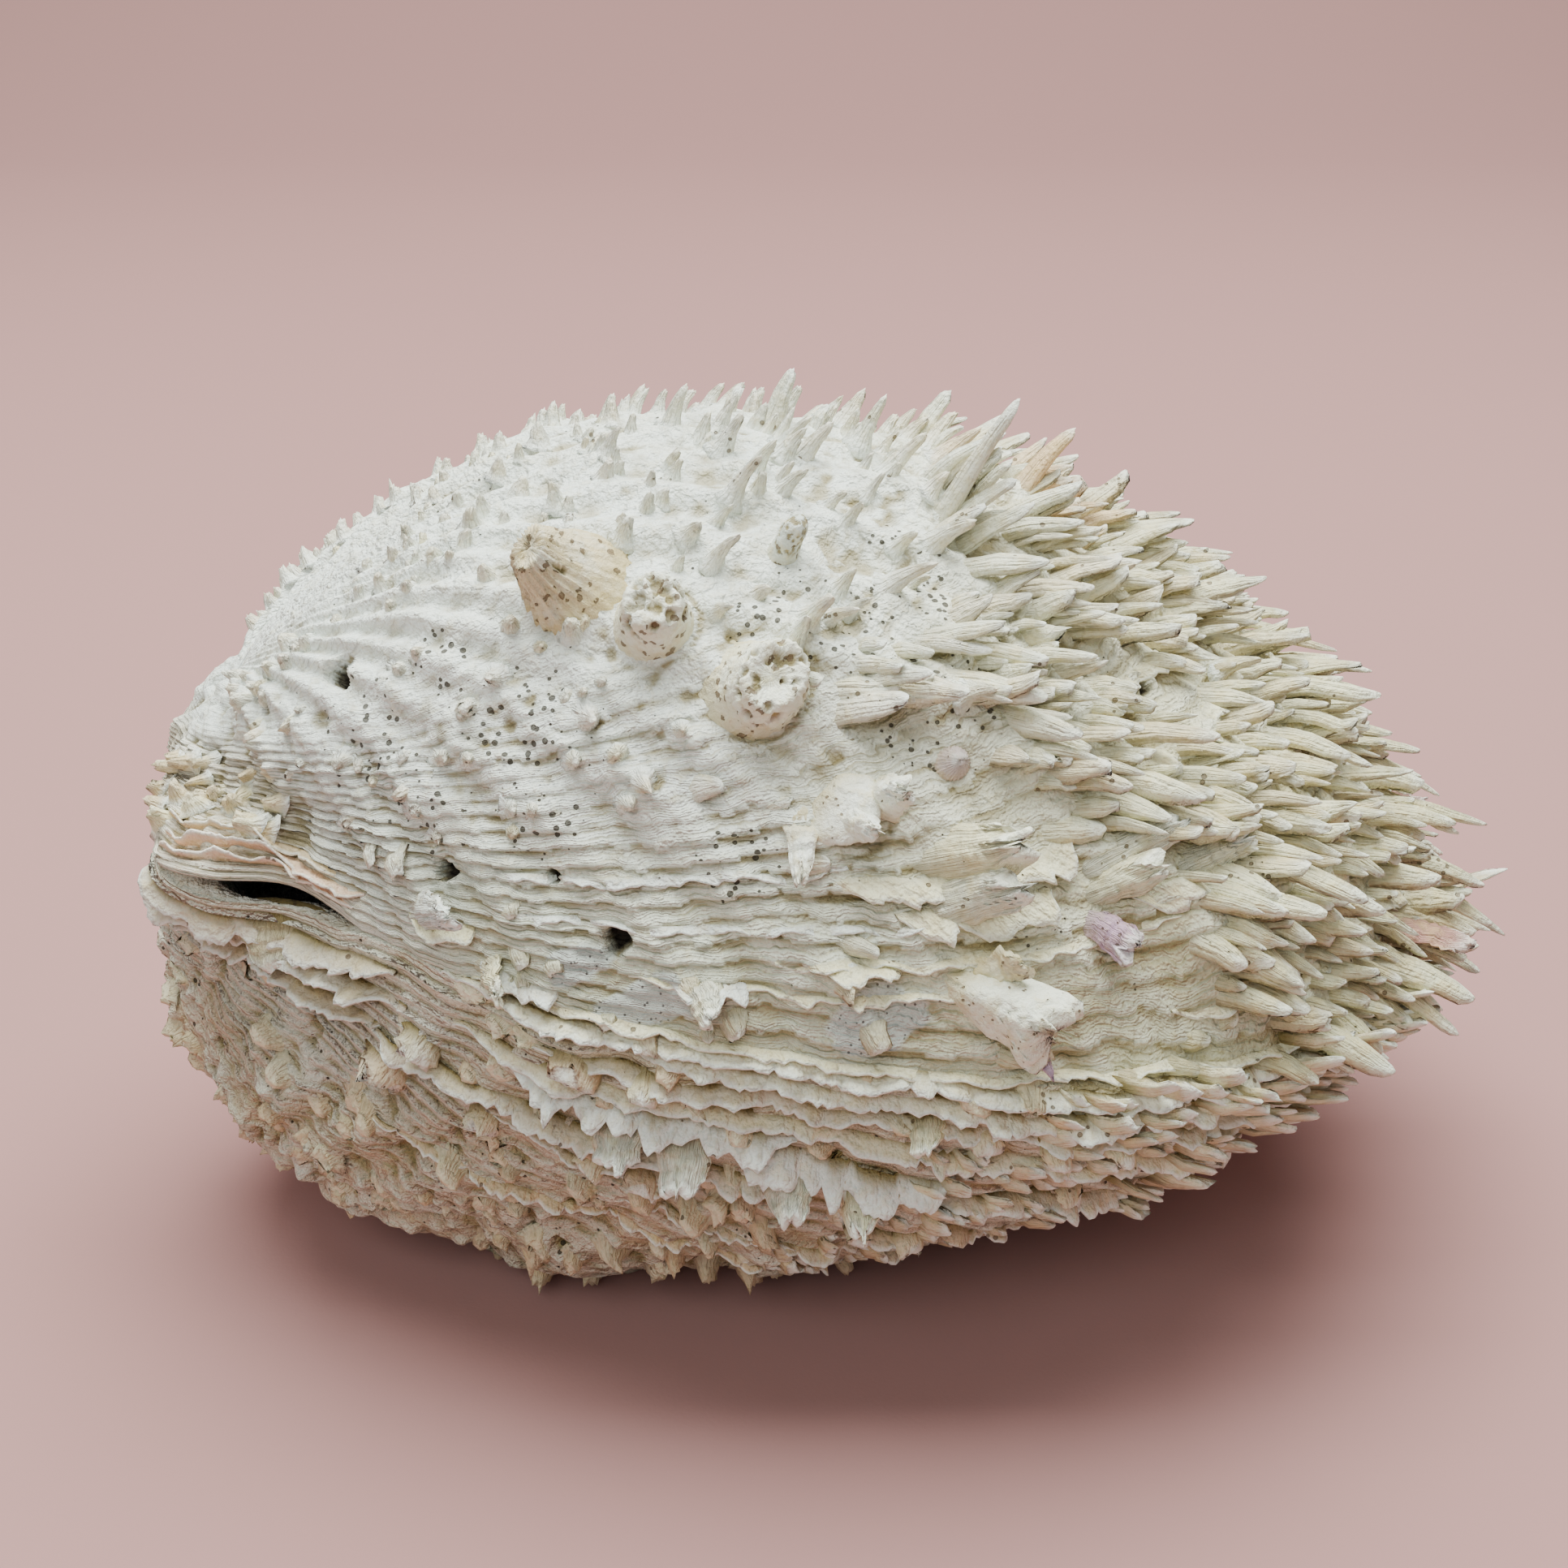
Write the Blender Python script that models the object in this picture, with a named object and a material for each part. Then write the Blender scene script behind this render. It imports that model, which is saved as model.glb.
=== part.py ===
# Thorny oyster shell, closed and dry, resting on its deep lower valve
# Shapes are worked out in millimetres in the hinge frame: x runs from the hinge to the front margin,
# y runs along the hinge line and z leaves the plane where the two valves meet

import math
import random
from collections import namedtuple

import bmesh
import bpy
import numpy as np
from mathutils import Matrix, Vector, noise

MM = 0.001

# Size and resting pose of the whole shell
LENGTH = 175.0
HINGE = (-90.36, -7.32, 68.5)
PITCH = math.radians(7.0)
YAW = math.radians(5.0)

# Margin of the valves, half of it, from the front tip round to the middle of the hinge
MARGIN = [(175, 0), (168, 26), (150, 48), (128, 60), (104, 64), (80, 62), (56, 56), (38, 47),
          (24, 37), (15, 30), (5, 29.5), (-2, 25), (-3, 15), (-2, 0)]

# The same points before the ears spread, as the young shell had them
YOUNG_MARGIN = [(175, 0), (168, 26), (150, 48), (128, 60), (104, 64), (80, 62), (56, 56), (38, 46),
                (24, 35), (14, 26), (6, 19), (1, 12), (-1, 6), (-2, 0)]

# Clearance between the rims, and the slit that stays open at the near ear
RIM_GAP = 0.3
SLIT_HEIGHT = 3.2
SLIT_MIDDLE = 10.5
SLIT_REACH = 14.5

# Wall of each valve, as a share of the distance to the middle of the margin
WALL = 0.10
EAR_WALL = 0.05
MIDDLE = Vector((82.0, 0.0, 0.0))

# Grid of each valve: columns round the margin, growth rings from the margin to the beak, the share of
# the growth that the last ring reaches, and how closely the rings crowd towards the margin
COLUMNS = 56
RINGS = 18
LAST_RING = 0.965
CROWDING = 1.12
INNER_RINGS = 7
LAST_INNER_RING = 0.93
INNER_CROWDING = 1.5
RIBS = 28

# Lumps of the surface: their size, and how much higher they are at the beak than at the margin
LUMP_SIZE = 17.0
LUMPS_AT_MARGIN = 0.5
LUMPS_GAIN = 1.1

# Share of the ledges' height that the oldest ones keep
OLD_LEDGES = 0.35

# Share of their length that the front's spines lose at the near and the far side, and the share
# that the spines near the worn beak keep
NEAR_LOSS = 0.45
FAR_LOSS = 0.25
BEAK_SHARE = 0.4

# The ears bear no spines: none up to the first x, and none on the outer rings up to the second
BARE_EAR = 12.0
BARE_EAR_RIM = 26.0
BARE_RINGS = 5

# Height over the floor that a drooping spine stops at, the shortest spine that is grown at all, and
# the clearance of a small shell that sits on the valve
FLOOR_CLEARANCE = 2.1
SHORTEST_SPINE = 2.0
SEAT_GAP = 0.4

# Path of the front end and of the hinge end of each growth line, in x and height
VALVES = {
    "upper_valve": {
        "front": [(175, 0), (165, 15), (149, 30), (124, 45), (98, 54), (74, 57.5), (56, 56), (40, 50.5),
                  (28, 43), (18, 34.5), (10, 26), (5, 18)],
        "back": [(-2, 0), (-3, 4), (-3, 9), (0, 14), (5, 18)],
        "fullness": 0.92,
        "side": 1,
        "ribs": 0.7,
        "ledges": 0.45,
        "lumps": 0.7,
        "seed": 11,
    },
    "lower_valve": {
        "front": [(175, 0), (166, 15), (148, 31), (124, 47), (98, 59), (76, 65), (56, 66), (38, 63),
                  (22, 58), (8, 51), (0, 42)],
        "back": [(-2, 0), (-4, 12), (-5, 24), (-4, 34), (0, 42)],
        "fullness": 0.86,
        "side": -1,
        "ribs": 0.6,
        "ledges": 1.3,
        "lumps": 2.2,
        "seed": 23,
    },
}


# Kinds of spines, where the first kind that fits a cell grows there: its range along x and its rings,
# the share of the cells that bear it (none where they stand staggered), its length, what the front
# adds to it, what each ring takes off, where it is worn, its lean towards the margin, and its widths
# at base, middle and tip as shares of the cell
Spine = namedtuple("Spine", "x rings share length front ring_loss worn lean widths")
SPINES = {
    "upper_valve": [
        Spine((100, 180), range(0, 7, 2), None, 8.0, 9.0, 0.06, "side", 0.9, (0.94, 0.8, 0.4)),
        Spine((20, 180), range(2, 12), 0.12, 5.5, 0.0, 0.0, "beak", 0.7, (0.62, None, 0.12)),
        Spine((40, 100), (1, 3), 0.35, 5.0, 0.0, 0.0, None, 1.3, (0.8, None, 0.5)),
    ],
    "lower_valve": [
        Spine((105, 180), range(0, 5, 2), None, 7.0, 7.0, 0.0, "side", 0.8, (0.92, 0.75, 0.4)),
        Spine((30, 180), (1, 3, 5), 0.3, 5.0, 0.0, 0.0, None, 0.8, (0.75, None, 0.4)),
        Spine((0, 180), range(6, 12), 0.11, 4.2, 0.0, 0.0, None, 0.3, (0.7, None, 0.25)),
    ],
}


def through(points, count):
    """Points spaced evenly along a smooth curve through the given ones."""
    p = np.array(points, float)
    p = np.vstack([2 * p[0] - p[1], p, 2 * p[-1] - p[-2]])
    t = np.linspace(0, 1, 12, endpoint=False)[:, None]
    runs = []
    for a, b, c, d in zip(p, p[1:], p[2:], p[3:]):
        runs.append(0.5 * (2 * b + (c - a) * t + (2 * a - 5 * b + 4 * c - d) * t ** 2
                           + (3 * b - a - 3 * c + d) * t ** 3))
    line = np.vstack(runs + [p[-2:-1]])
    arc = np.concatenate([[0], np.cumsum(np.linalg.norm(np.diff(line, axis=0), axis=1))])
    even = np.linspace(0, arc[-1], count)
    return np.stack([np.interp(even, arc, line[:, k]) for k in range(line.shape[1])], -1)


def whole_margin(count):
    """Both margins from the front tip along the near side and the hinge, back along the far side."""
    half = [(a, b, c, d) for (a, b), (c, d) in zip(MARGIN, YOUNG_MARGIN)]
    half = through([(half[1][0], -half[1][1], half[1][2], -half[1][3])] + half, 3000)
    half = half[int(np.argmax(half[:, 0])):]
    half[0, 1] = half[0, 3] = 0
    arc = np.concatenate([[0], np.cumsum(np.hypot(*np.diff(half[:, :2], axis=0).T))])
    even = np.linspace(0, arc[-1], count // 2 + 1)
    far = np.stack([np.interp(even, arc, half[:, k]) for k in range(4)], -1)
    near = far * np.array([1, -1, 1, -1])
    return np.vstack([near, far[-2::-1]])


MARGIN_LOOP = whole_margin(720)
PATHS = {name: (through(v["front"], 400), through(v["back"], 400)) for name, v in VALVES.items()}


def smooth(a, b, x):
    t = np.clip((np.asarray(x, float) - a) / (b - a), 0, 1)
    return t * t * (3 - 2 * t)


def margin(phi, young=0.0):
    """Margin point at this share of the way round."""
    at = np.mod(phi, 1.0)
    share = np.linspace(0, 1, len(MARGIN_LOOP))
    x, y, young_x, young_y = (np.interp(at, share, MARGIN_LOOP[:, k]) for k in range(4))
    return x + (young_x - x) * young, y + (young_y - y) * young


def slit(phi):
    """How far the margin stays open here, from 0 to 1."""
    x, y = margin(phi)
    open_here = np.clip(1 - ((x - SLIT_MIDDLE) / SLIT_REACH) ** 2, 0, 1) ** 0.6
    return open_here * smooth(-21, -27, y)


def base_surface(name, tau, phi):
    """Smooth valve: tau runs from the margin (0) to the beak (1), phi round the margin."""
    valve = VALVES[name]
    front, back = PATHS[name]
    at = np.linspace(0, 1, len(front))
    fx, fz = np.interp(tau, at, front[:, 0]), np.interp(tau, at, front[:, 1])
    bx, bz = np.interp(tau, at, back[:, 0]), np.interp(tau, at, back[:, 1])
    mx, my = margin(phi, smooth(0.0, 0.3, tau))
    share = (mx + 2.0) / (LENGTH + 2.0)
    width = (np.hypot(fx - bx, fz - bz) / (LENGTH + 2.0)) ** valve["fullness"]
    x = bx + share * (fx - bx)
    z = bz + share * (fz - bz)
    opening = RIM_GAP / 2 + SLIT_HEIGHT / 2 * slit(phi) * (1 - smooth(0, 0.35, tau))
    return np.stack([x, my * width, valve["side"] * (z + opening)], -1)


def frame_at(name, tau, phi):
    """Place, outward normal and growth direction of the smooth valve."""
    step = 0.004
    low, high = max(tau - step, 0), min(tau + step, 1)
    p = Vector(base_surface(name, tau, phi))
    along = Vector(base_surface(name, low, phi)) - Vector(base_surface(name, high, phi))
    across = Vector(base_surface(name, tau, phi + step)) - Vector(base_surface(name, tau, phi - step))
    normal = along.cross(across).normalized()
    if normal.dot(p - MIDDLE) < 0:
        normal.negate()
    return p, normal, along.normalized()


def relief(name, tau, phi, ring):
    """Height of ribs, ledges and lumps over the smooth valve."""
    valve = VALVES[name]
    off_ear = float(smooth(14, 40, margin(phi)[0]))
    fade = float(1 - smooth(0.75, 1.0, tau))
    ribs = valve["ribs"] * math.cos(2 * math.pi * RIBS * phi) * off_ear * fade
    fresh = OLD_LEDGES + (1 - OLD_LEDGES) * float(1 - smooth(0.3, 0.7, tau))
    ledge = valve["ledges"] * (1 if ring % 2 else -1) * fade * fresh
    place = Vector(base_surface(name, tau, phi)) / LUMP_SIZE + Vector((valve["seed"], 0, 0))
    rough = LUMPS_AT_MARGIN + LUMPS_GAIN * float(smooth(0.25, 0.75, tau))
    return ribs + ledge + valve["lumps"] * noise.noise(place) * rough


def ring_at(j):
    return (j / RINGS) ** CROWDING * LAST_RING


def outer_point(name, j, i):
    """Corner of the outer grid."""
    tau, phi = ring_at(j), i / COLUMNS
    p, normal, along = frame_at(name, tau, phi)
    q = p + normal * relief(name, tau, phi, j)
    if j == 0:
        q.z = p.z
    return q


def inner_point(name, tau, phi):
    """Point of the hollow's wall."""
    p = Vector(base_surface(name, tau, phi))
    thin = float(slit(phi)) * (1 - float(smooth(0.0, 0.3, tau)))
    share = 1 - WALL - (EAR_WALL - WALL) * thin
    q = MIDDLE + (p - MIDDLE) * share
    if tau == 0:
        q.z = p.z
    return q


def cell_at(tau, phi):
    return int((tau / LAST_RING) ** (1 / CROWDING) * RINGS), int(phi * COLUMNS)


def cell_middle(j, i):
    return (ring_at(j) + ring_at(j + 1)) / 2, (i + 0.5) / COLUMNS


# Growths with a place of their own on the upper valve, by share of the growth and of the way round:
# length, lean towards the margin, width in millimetres at base and top
STUMPS = {
    (0.645, 0.160): (8.0, 0.25, 11.0, 0.72),
    (0.550, 0.170): (7.5, 0.15, 10.0, 0.80),
    (0.445, 0.177): (8.0, 0.35, 12.0, 0.75),
    (0.540, 0.102): (5.0, 0.20, 5.5, 0.65),
}
LONG_SPINES = {
    (0.485, 0.047): (18.0, 0.08, 0.7, 0.6, 0.35),
    (0.440, 0.990): (9.5, 0.3, 0.7, 0.6, 0.3),
    (0.465, 0.950): (8.5, 0.3, 0.75, 0.6, 0.35),
    (0.560, 0.975): (7.0, 0.2, 0.7, 0.6, 0.3),
}

# Holes bored in the upper valve: width and depth
HOLES = {
    (0.705, 0.292): (3.8, 3.0),
    (0.140, 0.297): (3.0, 2.6),
    (0.225, 0.340): (2.4, 2.0),
}

# Small shells of other animals that settled on the upper valve: rings and columns of their seat,
# then loops of lift, slide, width and depth from the seat outwards, the last ones turning inwards
GUESTS = {
    "fold_shell": {
        "rings": (6, 6),
        "columns": (10, 12),
        "loops": [(3.2, 1.0, 1.06, 0.95), (5.8, 4.5, 0.7, 0.45)],
        "colour": (0.82, 0.76, 0.72),
    },
    "cup_shell": {
        "rings": (2, 2),
        "columns": (10, 11),
        "loops": [(5.0, 4.0, 0.9, 0.8), (10.5, 9.5, 1.15, 1.1), (10.8, 9.6, 0.95, 0.85),
                  (5.0, 4.5, 0.5, 0.45)],
        "colour": (0.84, 0.78, 0.66),
    },
}


def kept_clear(name, j, i):
    """True where one of the small shells sits or hangs over the cell."""
    if name != "upper_valve":
        return False
    for guest in GUESTS.values():
        low, high = guest["rings"]
        left, right = guest["columns"]
        if low - 3 <= j <= high + 1 and left - 2 <= i <= right + 1:
            return True
    return False


def kind_at(name, j, i, chance):
    """The kind of spine that this cell bears, if any."""
    x = margin((i + 0.5) / COLUMNS)[0]
    if x < BARE_EAR or x < BARE_EAR_RIM and j < BARE_RINGS or kept_clear(name, j, i):
        return None
    staggered = (i + j // 2) % 2 == 0
    for kind in SPINES[name]:
        borne = staggered if kind.share is None else chance < kind.share
        if kind.x[0] < x < kind.x[1] and j in kind.rings and borne:
            return kind
    return None


def kept_share(name, j, i, worn):
    """Share of its length that wear leaves a spine in this cell."""
    y = margin((i + 0.5) / COLUMNS)[1]
    if worn == "side":
        return float(1 - NEAR_LOSS * smooth(8, 40, -y) - FAR_LOSS * smooth(8, 40, y))
    if worn == "beak":
        x = base_surface(name, *cell_middle(j, i))[0]
        return BEAK_SHARE + (1 - BEAK_SHARE) * float(smooth(30, 75, x))
    return 1.0


def spine_rows(name):
    """The spines of one valve: cell, length, lean towards the margin, widths at base, middle and tip."""
    rng = random.Random(VALVES[name]["seed"])
    found = {}
    for j in range(RINGS - 4):
        for i in range(COLUMNS):
            chance, size = rng.random(), rng.uniform(0.75, 1.25)
            kind = kind_at(name, j, i, chance)
            if kind:
                full = kind.length + kind.front * float(smooth(95, 165, margin((i + 0.5) / COLUMNS)[0]))
                length = size * kept_share(name, j, i, kind.worn) * full * (1 - kind.ring_loss * j)
                found[j, i] = (length, kind.lean, *kind.widths)
    if name == "upper_valve":
        placed = list(STUMPS) + list(LONG_SPINES) + list(HOLES)
        for j, i in [cell_at(*at) for at in placed]:
            for near in [(j + a, (i + b) % COLUMNS) for a in (-1, 0, 1) for b in (-2, -1, 0, 1, 2)]:
                found.pop(near, None)
        for at, shape in LONG_SPINES.items():
            found[cell_at(*at)] = shape
    return found


def grow(bm, face, name, j, i, shape):
    """Draws one spine out of a face of the grid."""
    length, lean, base, middle, tip = shape
    normal, along = frame_at(name, *cell_middle(j, i))[1:]
    direction = (normal + along * lean).normalized()
    centre = face.calc_center_median()
    side = VALVES[name]["side"]
    fall = (placing().to_3x3() @ direction).z
    height = (placing() @ centre).z
    if fall < 0:
        length = min(length, (height - FLOOR_CLEARANCE) / -fall)
    if length < SHORTEST_SPINE:
        return
    bmesh.ops.inset_individual(bm, faces=[face], thickness=0.01)
    ring = {v: v.co - centre for v in face.verts}
    for v in face.verts:
        v.co = centre + ring[v] * base
    steps = [(1.0, tip)] if middle is None else [(0.55, middle), (1.0, tip)]
    last, reached = base, 0.0
    for share, width in steps:
        face = bmesh.ops.extrude_discrete_faces(bm, faces=[face])["faces"][0]
        start = face.calc_center_median()
        for v in face.verts:
            v.co = start + direction * length * (share - reached) + (v.co - start) * (width / last)
            v.co.z = side * max(side * v.co.z, RIM_GAP / 2 + 0.35)
        last, reached = width, share


def stump_block(at):
    """The three cells that a stump takes the place of."""
    j, i = cell_at(*at)
    return [(j, i - 1), (j, i), (j, i + 1)]


def grow_stump(bm, outer, at, shape):
    """Raises a worn stump over its three cells and sinks its porous top."""
    length, lean, width, top = shape
    p, normal, along = frame_at("upper_valve", *at)
    direction = (normal + along * lean).normalized()
    across = direction.cross(along).normalized()
    ahead = across.cross(direction)
    j, i = cell_at(*at)
    last = [outer[j][i + k] for k in (-1, 0, 1, 2)] + [outer[j + 1][i + k] for k in (2, 1, 0, -1)]
    p = p.lerp(sum((v.co for v in last), Vector()) / len(last), 0.55)
    turns = [math.atan2((v.co - p).dot(ahead), (v.co - p).dot(across)) for v in last]
    for reach, size in ((0.5, 0.5 + 0.5 * top), (1.0, top), (0.96, 0.6 * top), (0.7, 0.45 * top)):
        loop = []
        for turn in turns:
            away = across * math.cos(turn) + ahead * math.sin(turn)
            loop.append(bm.verts.new(p + direction * length * reach + away * size * width / 2))
        loop_faces(bm, last, loop)
        last = loop
    bm.faces.new(last)


def bore(bm, face, at, shape):
    """Sinks one round hole into a face of the grid."""
    width, depth = shape
    normal = frame_at("upper_valve", *at)[1]
    bmesh.ops.inset_individual(bm, faces=[face], thickness=0.01)
    centre = face.calc_center_median()
    for v in face.verts:
        v.co = centre + (v.co - centre) * min(0.7, width / 2 / (v.co - centre).length)
    face = bmesh.ops.extrude_discrete_faces(bm, faces=[face])["faces"][0]
    for v in face.verts:
        v.co -= normal * depth


def placing():
    """From the hinge frame to the resting shell, in millimetres."""
    return Matrix.Translation(HINGE) @ Matrix.Rotation(YAW, 4, "Z") @ Matrix.Rotation(PITCH, 4, "Y")


def finish(bm, name, colour, roughness):
    """Rests the shape on the floor, scales it to metres and links it as one object."""
    bmesh.ops.transform(bm, matrix=placing(), verts=bm.verts)
    for v in bm.verts:
        v.co.z = max(v.co.z, 0.0)
    bmesh.ops.triangulate(bm, faces=bm.faces, quad_method="SHORT_EDGE")
    bmesh.ops.recalc_face_normals(bm, faces=bm.faces)
    bmesh.ops.scale(bm, vec=(MM, MM, MM), verts=bm.verts)
    mesh = bpy.data.meshes.new(name)
    bm.to_mesh(mesh)
    bm.free()
    material = bpy.data.materials.new(name + "_shell")
    material.use_nodes = True
    shader = material.node_tree.nodes["Principled BSDF"]
    shader.inputs["Base Color"].default_value = (*colour, 1)
    shader.inputs["Roughness"].default_value = roughness
    shader.inputs["Metallic"].default_value = 0.0
    mesh.materials.append(material)
    obj = bpy.data.objects.new(name, mesh)
    bpy.context.scene.collection.objects.link(obj)
    return obj


def loop_faces(bm, low, high):
    """Band of quads between two closed rows of corners."""
    n = len(low)
    return [bm.faces.new((low[i], low[(i + 1) % n], high[(i + 1) % n], high[i])) for i in range(n)]


def seat_triangles(bm, a, b, c, d):
    """A cell split the same way on the valve and on what sits there."""
    return [bm.faces.new((a, b, c)), bm.faces.new((a, c, d))]


def is_seat(name, j, i):
    """True where one of the small shells sits on this cell."""
    for guest in GUESTS.values():
        low, high = guest["rings"]
        left, right = guest["columns"]
        if name == "upper_valve" and low <= j <= high and left <= i <= right:
            return True
    return False


def build_valve(name, colour, roughness):
    """One hollow valve with its ribs, ledges and spines."""
    bm = bmesh.new()
    outer = [[bm.verts.new(outer_point(name, j, i)) for i in range(COLUMNS)] for j in range(RINGS + 1)]
    inner = []
    for k in range(INNER_RINGS + 1):
        tau = (k / INNER_RINGS) ** INNER_CROWDING * LAST_INNER_RING
        inner.append([bm.verts.new(inner_point(name, tau, i / COLUMNS)) for i in range(COLUMNS)])
    stumps = STUMPS if name == "upper_valve" else {}
    blocks = [cell for at in stumps for cell in stump_block(at)]
    cells = {}
    for j in range(RINGS):
        for i in range(COLUMNS):
            k = (i + 1) % COLUMNS
            corners = outer[j][i], outer[j][k], outer[j + 1][k], outer[j + 1][i]
            if is_seat(name, j, i):
                seat_triangles(bm, *corners)
            elif (j, i) not in blocks:
                cells[j, i] = bm.faces.new(corners)
    for low, high in zip(inner, inner[1:]):
        loop_faces(bm, low, high)
    loop_faces(bm, outer[0], inner[0])
    for rows, beak in ((outer, base_surface(name, 1.0, 0.0)), (inner, inner_point(name, 1.0, 0.0))):
        tip = bm.verts.new(beak)
        for i in range(COLUMNS):
            bm.faces.new((rows[-1][i], rows[-1][(i + 1) % COLUMNS], tip))
    for at, shape in stumps.items():
        grow_stump(bm, outer, at, shape)
    bmesh.ops.recalc_face_normals(bm, faces=bm.faces)
    for (j, i), shape in sorted(spine_rows(name).items()):
        grow(bm, cells[j, i], name, j, i, shape)
    if name == "upper_valve":
        for at, shape in HOLES.items():
            bore(bm, cells[cell_at(*at)], at, shape)
    return finish(bm, name, colour, roughness)


def build_guest(name, guest):
    """One small shell, a little clear of the cells that it sits on."""
    bm = bmesh.new()
    low, high = guest["rings"]
    left, right = guest["columns"]
    rings, columns = range(low, high + 2), range(left, right + 2)
    middle = (ring_at(low) + ring_at(high + 1)) / 2, (left + right + 1) / 2 / COLUMNS
    normal, along = frame_at("upper_valve", *middle)[1:]
    across = normal.cross(along)
    seat = {(j, i): bm.verts.new(outer_point("upper_valve", j, i) + normal * SEAT_GAP)
            for j in rings for i in columns}
    for j in rings[:-1]:
        for i in columns[:-1]:
            seat_triangles(bm, seat[j, i], seat[j, i + 1], seat[j + 1, i + 1], seat[j + 1, i])
    rim = [(rings[0], i) for i in columns] + [(j, columns[-1]) for j in rings[1:]]
    rim += [(rings[-1], i) for i in columns[-2::-1]] + [(j, columns[0]) for j in rings[-2:0:-1]]
    last = [seat[k] for k in rim]
    centre = sum((v.co for v in last), Vector()) / len(last)
    offsets = [v.co - centre for v in last]
    for lift, slide, wide, deep in guest["loops"]:
        loop = []
        for away in offsets:
            flat = across * away.dot(across) * wide + along * away.dot(along) * deep
            loop.append(bm.verts.new(centre + flat + normal * lift + along * slide))
        loop_faces(bm, last, loop)
        last = loop
    bm.faces.new(last)
    return finish(bm, name, guest["colour"], 0.7)


for old in list(bpy.data.objects):
    bpy.data.objects.remove(old)

build_valve("upper_valve", (0.80, 0.77, 0.68), 0.75)
build_valve("lower_valve", (0.74, 0.66, 0.56), 0.8)
for guest_name, guest_shape in GUESTS.items():
    build_guest(guest_name, guest_shape)
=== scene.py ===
# Thorny oyster shell, closed and dry, resting on its deep lower valve on a pale floor
# Shapes are worked out in millimetres in the hinge frame, as in the part's source: x runs from the hinge
# to the front margin, y along the hinge line, and z leaves the plane where the two valves meet

import math
import random
from collections import namedtuple

import bpy
import numpy as np
from mathutils import Matrix, Vector, noise


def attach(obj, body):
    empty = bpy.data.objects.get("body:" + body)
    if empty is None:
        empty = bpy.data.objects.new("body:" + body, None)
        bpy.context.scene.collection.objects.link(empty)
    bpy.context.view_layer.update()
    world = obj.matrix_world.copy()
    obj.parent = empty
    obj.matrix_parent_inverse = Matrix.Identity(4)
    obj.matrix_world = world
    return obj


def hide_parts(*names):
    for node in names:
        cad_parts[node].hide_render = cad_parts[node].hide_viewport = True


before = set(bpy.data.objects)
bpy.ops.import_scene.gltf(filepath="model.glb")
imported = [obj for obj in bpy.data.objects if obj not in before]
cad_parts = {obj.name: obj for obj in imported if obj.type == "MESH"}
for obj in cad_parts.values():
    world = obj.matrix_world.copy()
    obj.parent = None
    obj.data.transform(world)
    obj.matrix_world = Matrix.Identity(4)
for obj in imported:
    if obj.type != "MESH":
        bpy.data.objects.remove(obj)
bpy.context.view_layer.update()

MM = 0.001

# Size and resting pose of the whole shell
LENGTH = 175.0
HINGE = (-90.36, -7.32, 68.5)
PITCH = math.radians(7.0)
YAW = math.radians(5.0)
MIDDLE = np.array([82.0, 0.0, 0.0])

# Margin of the valves, half of it, as it is and as the young shell had it
MARGIN = [(175, 0), (168, 26), (150, 48), (128, 60), (104, 64), (80, 62), (56, 56), (38, 47),
          (24, 37), (15, 30), (5, 29.5), (-2, 25), (-3, 15), (-2, 0)]
YOUNG_MARGIN = [(175, 0), (168, 26), (150, 48), (128, 60), (104, 64), (80, 62), (56, 56), (38, 46),
                (24, 35), (14, 26), (6, 19), (1, 12), (-1, 6), (-2, 0)]

RIM_GAP = 0.3
SLIT_HEIGHT = 3.2
SLIT_MIDDLE = 10.5
SLIT_REACH = 14.5
WALL = 0.10
EAR_WALL = 0.05

# Rows and columns that the solids' spines stand in
COLUMNS = 56
RINGS = 18
LAST_RING = 0.965
CROWDING = 1.12
RIBS = 28

# Share of their length that the front's spines lose at the near and the far side, and the share
# that the spines near the worn beak keep
NEAR_LOSS = 0.45
FAR_LOSS = 0.25
BEAK_SHARE = 0.4

# Grid of each dressed valve: most columns are on the near side
NEAR_COLUMNS = 345
FAR_COLUMNS = 135
OUTER_ROWS = 190
INNER_ROWS = 9
FINE_RIBS = 74
LAMELLAE = 34

# Grids of the growths that stand on it
FRILL_STEPS = 760
FRILL_ROWS = 6
STUMP_GRID = (72, 44)
SHEET_GRID = (30, 44)
PITTED_TOP = 0.6

SEAM_DEPTH = 0.5
CRUST_HEIGHT = 0.35

VALVES = {
    "upper_valve": {
        "front": [(175, 0), (165, 15), (149, 30), (124, 45), (98, 54), (74, 57.5), (56, 56), (40, 50.5),
                  (28, 43), (18, 34.5), (10, 26), (5, 18)],
        "back": [(-2, 0), (-3, 4), (-3, 9), (0, 14), (5, 18)],
        "fullness": 0.92,
        "side": 1,
        "ribs": 0.7,
        "lumps": 0.7,
        "banded": (0.30, 0.62),
        "seed": 11,
    },
    "lower_valve": {
        "front": [(175, 0), (166, 15), (148, 31), (124, 47), (98, 59), (76, 65), (56, 66), (38, 63),
                  (22, 58), (8, 51), (0, 42)],
        "back": [(-2, 0), (-4, 12), (-5, 24), (-4, 34), (0, 42)],
        "fullness": 0.86,
        "side": -1,
        "ribs": 0.6,
        "lumps": 2.2,
        "banded": (0.08, 0.22),
        "seed": 23,
    },
}

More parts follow.
